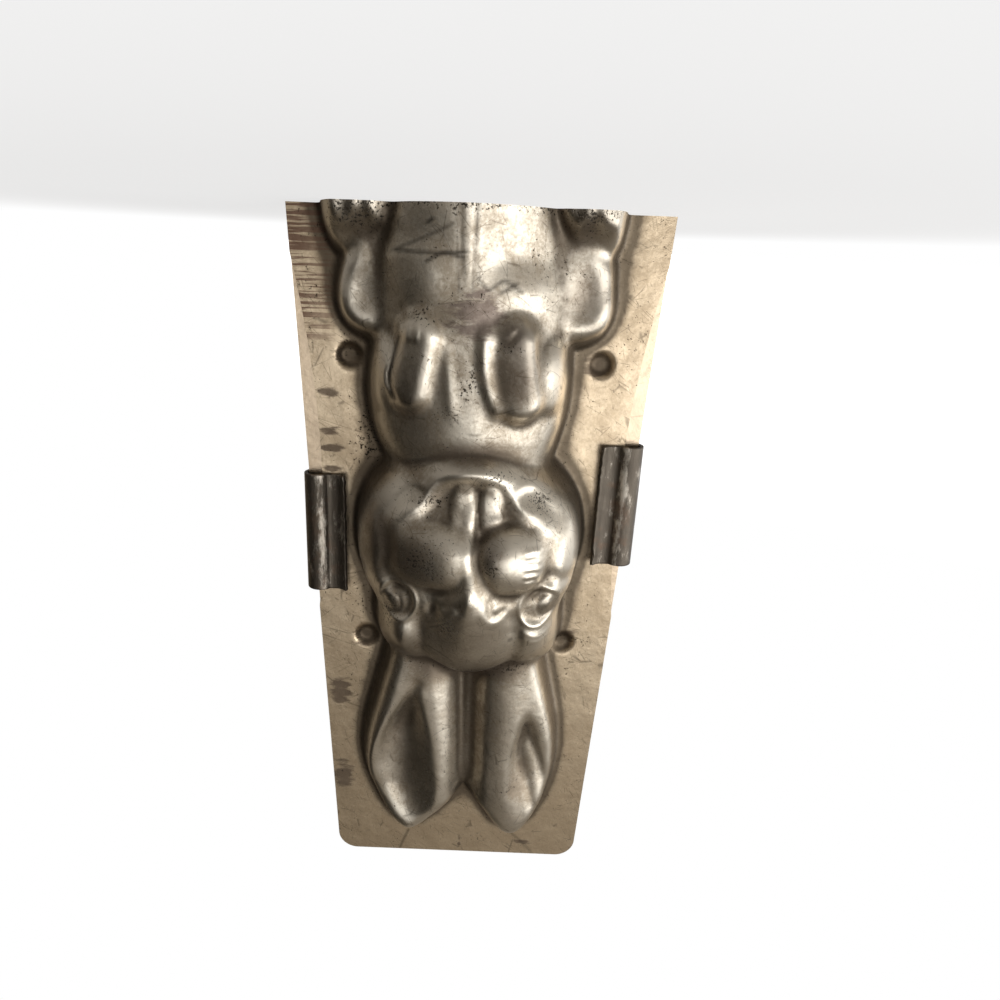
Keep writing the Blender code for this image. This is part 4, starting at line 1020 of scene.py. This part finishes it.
@dataclass
class PressedHalf:
    """One half of the mould: a tinplate sheet with the rabbit pressed out of it."""

    name: str
    node: str
    slot: str
    facing: Facing
    outline: PlateOutline
    form: RabbitForm = field(default_factory=RabbitForm)
    step: float = 0.45
    softness: float = 0.8
    sharpness: float = 0.35
    sheet: float = 0.7
    face: float = 0.85
    dimple_radius: float = 3.1
    dimple_floor: float = 1.8
    dimple_depth: float = 1.3
    dimple_inset: float = 11.4
    dimple_heights: Pair = (31.5, 102.0)
    dimple_softness: float = 0.35
    wear_reaches: Triple = (1.1, 3.0, 6.0)

    def rows(self) -> Field:
        """Spaces the grid's rows, closer together round the top corners.

        Returns:
            Their heights.
        """
        straight = self.outline.length - self.outline.corner
        turn = np.linspace(0.0, math.pi / 2, self.outline.corner_steps)[1:]
        level = np.linspace(0.0, straight, round(straight / self.step))
        return np.concatenate([level, straight + self.outline.corner * np.sin(turn)])

    def dimples(self, at: Places) -> Field:
        """Works out the four locating dimples.

        Args:
            at: The places.

        Returns:
            Their depth.
        """
        slope = self.dimple_radius - self.dimple_floor
        depth = np.zeros_like(at.x)
        for height in self.dimple_heights:
            away = np.hypot(np.abs(at.x) - self.outline.taper(height) + self.dimple_inset, at.z - height)
            depth = depth + self.dimple_depth * np.clip((self.dimple_radius - away) / slope, 0.0, 1.0)
        return depth

    def build(self) -> bpy.types.Object:
        """Builds the sheet's mesh with its thickness.

        Returns:
            The finished object.
        """
        rows = self.rows()
        columns = round(2 * self.outline.half_base / self.step)
        z, share = np.meshgrid(rows, np.linspace(-1.0, 1.0, columns + 1), indexing="ij")
        at = Places(share * self.outline.half_width(z), z)
        forms, details = self.form.figure(at, self.facing is Facing.FRONT)
        pressed = blurred(forms, self.step, self.softness) + blurred(details, self.step, self.sharpness)
        sunk = blurred(self.dimples(at), self.step, self.dimple_softness)
        y = self.facing.value * (self.face + pressed) + sunk

        grid = bmesh.new()
        bmesh.ops.create_grid(grid, x_segments=columns, y_segments=len(rows) - 1, size=1.0)
        half = new_object(self.name, grid)
        mesh = half.data
        places = np.empty(len(mesh.vertices) * 3)
        mesh.vertices.foreach_get("co", places)
        places = places.reshape(-1, 3)
        column = np.rint((places[:, 0] + 1.0) / 2.0 * columns).astype(int)
        row = np.rint((places[:, 1] + 1.0) / 2.0 * (len(rows) - 1)).astype(int)
        made = np.stack([at.x[row, column], y[row, column], z[row, column]], axis=1) * MM
        mesh.vertices.foreach_set("co", made.ravel())
        if self.facing is Facing.BACK:
            mesh.flip_normals()
        for name, values in self.wear(at, pressed - sunk).items():
            stored = mesh.attributes.new(name, "FLOAT", "POINT")
            stored.data.foreach_set("value", values[row, column].astype(np.float32))
        mesh.update()

        thick = half.modifiers.new("thickness", "SOLIDIFY")
        thick.thickness = self.sheet * MM
        thick.offset = -1.0
        return standing_on_floor(with_modifiers_applied(half))

    def wear(self, at: Places, height: Field) -> dict[str, Field]:
        """Works out where the tin is polished, stained, grimy and pitted, and where painted shade, painted highlights
        and a painted warm reflection go.

        Args:
            at: The places.
            height: The relief, less the dimples.

        Returns:
            The values from 0 to 1 for each place, by name.
        """
        near, far, wide = (blurred(height, self.step, reach) for reach in self.wear_reaches)
        # The crease value is partly patina in the hollows and partly painted shade: the widest blur darkens recesses as
        # occlusion would, the next line paints a dark band along the foot of every form, and steep low walls are
        # painted darker.
        crease = np.clip((near - height) / 0.35, 0.0, 1.0) * 0.7 + np.clip((far - height) / 1.6, 0.0, 1.0) * 0.7
        crease = crease + 0.35 * np.clip((wide - height) / 4.0, 0.0, 1.0)
        crease = crease + ease(height, 0.03, 0.3) * ease(height, 4.0, 0.8)
        steep = np.hypot(*np.gradient(height, self.step))
        crease = crease + 0.45 * ease(steep, 0.9, 1.8) * ease(height, 9.0, 2.0)
        fine, soft = blurred(crease, self.step, 0.55), blurred(crease, self.step, 1.5)
        crease = fine + (soft - fine) * ease(blurred(steep, self.step, 1.5), 0.7, 1.5)
        rub = np.clip((height - near) / 0.3, 0.0, 1.0) * 0.6 + np.clip((height - far) / 1.6, 0.0, 1.0) * 0.8
        # The flat-plate mask carries the painted warm reflection into the material.
        values = {"crease": crease, "rub": rub, "flange": ease(height, 0.3, 0.05)}
        if self.facing is Facing.FRONT:
            # Painted highlight: the pale bands by the mouth raise the bright value and clear the painted crease shade
            # there.
            pale = np.clip(at.lines(PAINTED_HIGHLIGHT_LINES), 0.0, 1.0)
            comb = ease(at.x, 30.5, 33.5) * ease(at.z, 31.0, 26.0) * (0.7 + 0.3 * ease(at.x, 34.0, 39.0))
            values.update(stain=at.mounds(STAINS), grime=at.mounds(GRIME_AND_SHADE), pitted=at.mounds(PITS), comb=comb,
                          scratch=at.lines(SCRATCHES), crease=crease * (1.0 - 0.8 * pale), rub=np.maximum(rub, pale))
        return {name: np.clip(value, 0.0, 1.0) for name, value in values.items()}


@dataclass
class SpringClip:
    """A rolled spring-steel clip, pushed over both plates' edges from the side, in millimetres."""

    name: str
    node: str
    side: int
    middle: float
    length: float = 29.5
    sheet: float = 0.8
    roll: float = 2.8
    grip: float = 2.4
    lip: float = 2.2
    lip_rise: float = 1.5
    gap: float = 0.3
    face: float = 0.85
    across: float = 0.5
    # Angle and spread of the two painted highlight bands along the roll.
    worn_and_sheen_at: float = 0.62 * math.pi
    worn_and_sheen_spread: float = 0.28
    arc_points: int = 40
    raggedness: float = 0.35
    ragged_reach: float = 0.8
    seed: int = 7
    bevel: float = 0.12
    bevel_segments: int = 2
    bevel_angle: float = math.radians(60.0)

    def section(self) -> list[Pair]:
        """Works out the middle line of the sheet.

        Returns:
            Its points, from one lip round the roll to the other.
        """
        grip_y = self.face + self.gap + self.sheet / 2
        opening = math.asin(grip_y / self.roll)
        neck = -self.roll * math.cos(opening)
        arc = [(self.roll * math.cos(a), self.roll * math.sin(a))
               for a in np.linspace(math.pi - opening, opening - math.pi, self.arc_points)]
        upper = [(neck - self.grip - self.lip, grip_y + self.lip_rise),
                 (neck - self.grip - self.lip * 0.45, grip_y + self.lip_rise * 0.32),
                 (neck - self.grip, grip_y), (neck - self.grip * 0.5, grip_y)]
        return upper + arc + [(a, -b) for a, b in reversed(upper)]

    def build(self, outline: PlateOutline) -> bpy.types.Object:
        """Builds the clip.

        Args:
            outline: The wider plate's outline, which the roll stands against.

        Returns:
            The finished object.
        """
        line = np.array(self.section())
        widest = float(outline.half_width(np.array(self.middle - self.length / 2)))
        origin = self.side * (widest + self.gap + self.sheet / 2 - self.roll)
        steps = round(self.length / self.across)
        sheet = bmesh.new()
        rng = np.random.default_rng(self.seed + self.side)
        uneven = blurred(rng.normal(0.0, 1.0, (steps + 1, 2)), self.across, self.ragged_reach)
        ragged = self.raggedness * np.abs(uneven)
        rows = []
        for i in range(steps + 1):
            height = self.middle + self.length * (i / steps - 0.5)
            out = np.zeros(len(line))
            out[0], out[-1] = ragged[i]
            rows.append([sheet.verts.new(((origin + self.side * (px + o)) * MM, py * MM, height * MM))
                         for (px, py), o in zip(line, out)])
        for low, high in zip(rows, rows[1:]):
            for a, b, c, d in zip(low, low[1:], high[1:], high):
                sheet.faces.new((a, b, c, d) if self.side > 0 else (d, c, b, a))
        clip = new_object(self.name, sheet)
        # Painted highlight: two bands at a fixed angle round the roll, along its whole length.
        rub = clip.data.attributes.new("rub", "FLOAT", "POINT")
        angle = np.tile(np.arctan2(line[:, 1], line[:, 0]), steps + 1)
        worn_and_sheen = sum(np.exp(-((angle - at) / self.worn_and_sheen_spread) ** 2) for at in (-self.worn_and_sheen_at, self.worn_and_sheen_at))
        rub.data.foreach_set("value", np.clip(worn_and_sheen, 0.0, 1.0).astype(np.float32))
        thick = clip.modifiers.new("thickness", "SOLIDIFY")
        thick.thickness = self.sheet * MM
        thick.offset = 0.0
        thick.use_even_offset = True
        rounded = clip.modifiers.new("rounded", "BEVEL")
        rounded.width = self.bevel * MM
        rounded.segments = self.bevel_segments
        rounded.limit_method = "ANGLE"
        rounded.angle_limit = self.bevel_angle
        return with_modifiers_applied(clip)


@dataclass
class ChocolateMould:
    """The whole mould: two halves and two clips."""

    front: PressedHalf = field(default_factory=lambda: PressedHalf(
        "tin_front_half", "front_half", "front_tin", Facing.FRONT, PlateOutline(bow=3.4)))
    back: PressedHalf = field(default_factory=lambda: PressedHalf(
        "tin_back_half", "back_half", "back_tin", Facing.BACK, PlateOutline(), step=0.7, softness=0.7))
    clips: tuple[SpringClip, ...] = (SpringClip("steel_clip_right", "spring_clip_right", 1, 74.0),
                                     SpringClip("steel_clip_left", "spring_clip_left", -1, 64.5))

    def build(self, effects: Effects) -> None:
        """Builds, dresses and seats every piece.

        Args:
            effects: The shared node groups.
        """
        front_tin = TinFinish("aged_tin_front").build(effects)
        back_tin = TinFinish("aged_tin_back", bright=(0.70, 0.63, 0.54), dull=(0.52, 0.44, 0.36), cover=0.42,
                             pits=0.15, scratches=0.22).build(effects)
        steel = BlackSteelFinish("blackened_spring_steel").build(effects)
        for half, finish in ((self.front, front_tin), (self.back, back_tin)):
            self.seat(half.build(), finish, "mould", half.node)
        for clip, body in zip(self.clips, ("clip_right", "clip_left")):
            self.seat(clip.build(self.back.outline), steel, body, clip.node)

    def seat(self, piece: bpy.types.Object, finish: bpy.types.Material, body: str, node: str) -> None:
        """Gives a piece its finish and body, and hides the part of the node it stands for.

        Args:
            piece: The piece.
            finish: Its material.
            body: The body it rides on.
            node: The node it stands for.
        """
        piece.data.materials.clear()
        piece.data.materials.append(finish)
        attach(piece, body)
        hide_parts(node)
        LOG.info("%s: %d faces on %s", piece.name, len(piece.data.polygons), body)


@dataclass
class Studio:
    """Floor, room, lamp and camera in metres, lens and sensor in millimetres, pitch in degrees and roll in radians."""

    floor_half: float = 3.0
    floor_squares: int = 12
    lamp_at: Triple = (-0.56, -0.42, 0.17)
    lamp_towards: Triple = (0.0, -0.02, 0.06)
    lamp_size: Pair = (1.05, 0.60)
    lamp_power: float = 3.9
    camera_at: Triple = (-0.00003, -0.16539, 0.00790)
    camera_pitch: float = 19.0
    camera_roll: float = 0.04
    lens: float = 26.28
    shift: float = 0.03
    sensor: float = 36.0
    nearest: float = 0.005
    shade: Colour = (1.0, 0.82, 0.60)

    def build(self) -> None:
        """Builds the whole studio."""
        self.floor()
        self.room()
        self.softbox()
        self.camera()

    def floor(self) -> None:
        """Lays the floor round the mould."""
        sheet = bmesh.new()
        bmesh.ops.create_grid(sheet, x_segments=self.floor_squares, y_segments=self.floor_squares, size=self.floor_half)
        floor = new_object("studio_floor", sheet)
        floor.data.materials.append(FloorFinish().build())

    def room(self) -> None:
        """Makes a room, white for the camera, and darker above and on one side for the lighting."""
        world = bpy.data.worlds.new("studio_room")
        bpy.context.scene.world = world
        world.use_nodes = True
        graph = Graph(world.node_tree)
        direction = graph.add("ShaderNodeTexCoord").outputs["Generated"]
        parts = graph.add("ShaderNodeSeparateXYZ", {0: direction}).outputs
        side = graph.level(parts["X"], 0.14, 0.44, 1.0, 0.0)
        above = graph.level(parts["Z"], -0.05, 0.62, 1.0, 0.1)
        level = graph.plus(graph.times(side, above, 2.0), 0.02)
        path = graph.add("ShaderNodeLightPath").outputs
        seen = path["Is Camera Ray"]
        behind = graph.times(graph.level(parts["Y"], 0.1, 0.4),
                             graph.most(path["Is Glossy Ray"], path["Is Transmission Ray"]))
        tint = graph.blend(graph.level(level, 0.0, 0.6), self.shade, WHITE)
        graph.feed(world.node_tree.nodes["Background"], {
            "Color": graph.blend(seen, tint, WHITE), "Strength": graph.most(seen, level, graph.times(behind, 0.35))})

    def softbox(self) -> None:
        """Hangs a soft rectangular lamp beside the mould."""
        lamp = bpy.data.lights.new("side_softbox", "AREA")
        lamp.shape = "RECTANGLE"
        lamp.size, lamp.size_y = self.lamp_size
        lamp.energy = self.lamp_power
        thing = bpy.data.objects.new("side_softbox", lamp)
        thing.location = self.lamp_at
        ahead = Vector(self.lamp_towards) - Vector(self.lamp_at)
        thing.rotation_euler = ahead.to_track_quat("-Z", "Y").to_euler()
        bpy.context.scene.collection.objects.link(thing)

    def camera(self) -> None:
        """Sets the camera low in front of the base and turned over, as the photograph was taken."""
        camera = bpy.data.cameras.new("photo_camera")
        camera.sensor_width = self.sensor
        camera.lens = self.lens
        camera.shift_x = self.shift
        camera.clip_start = self.nearest
        thing = bpy.data.objects.new("photo_camera", camera)
        pitch = math.radians(self.camera_pitch)
        forward = Vector((0.0, math.cos(pitch), math.sin(pitch)))
        level_right = Vector((-1.0, 0.0, 0.0))
        level_up = (-forward).cross(level_right)
        right = level_right * math.cos(self.camera_roll) + level_up * math.sin(self.camera_roll)
        up = level_up * math.cos(self.camera_roll) - level_right * math.sin(self.camera_roll)
        turned = Matrix((right, up, -forward)).transposed()
        thing.matrix_world = Matrix.Translation(self.camera_at) @ turned.to_4x4()
        bpy.context.scene.collection.objects.link(thing)
        bpy.context.scene.camera = thing


def main() -> None:
    """Loads the frame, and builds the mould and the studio."""
    logging.basicConfig(level=logging.INFO, format="%(name)s: %(message)s")
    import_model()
    bpy.context.scene.view_settings.view_transform = "Standard"
    ChocolateMould().build(Effects())
    Studio().build()


if __name__ == "__main__":
    main()
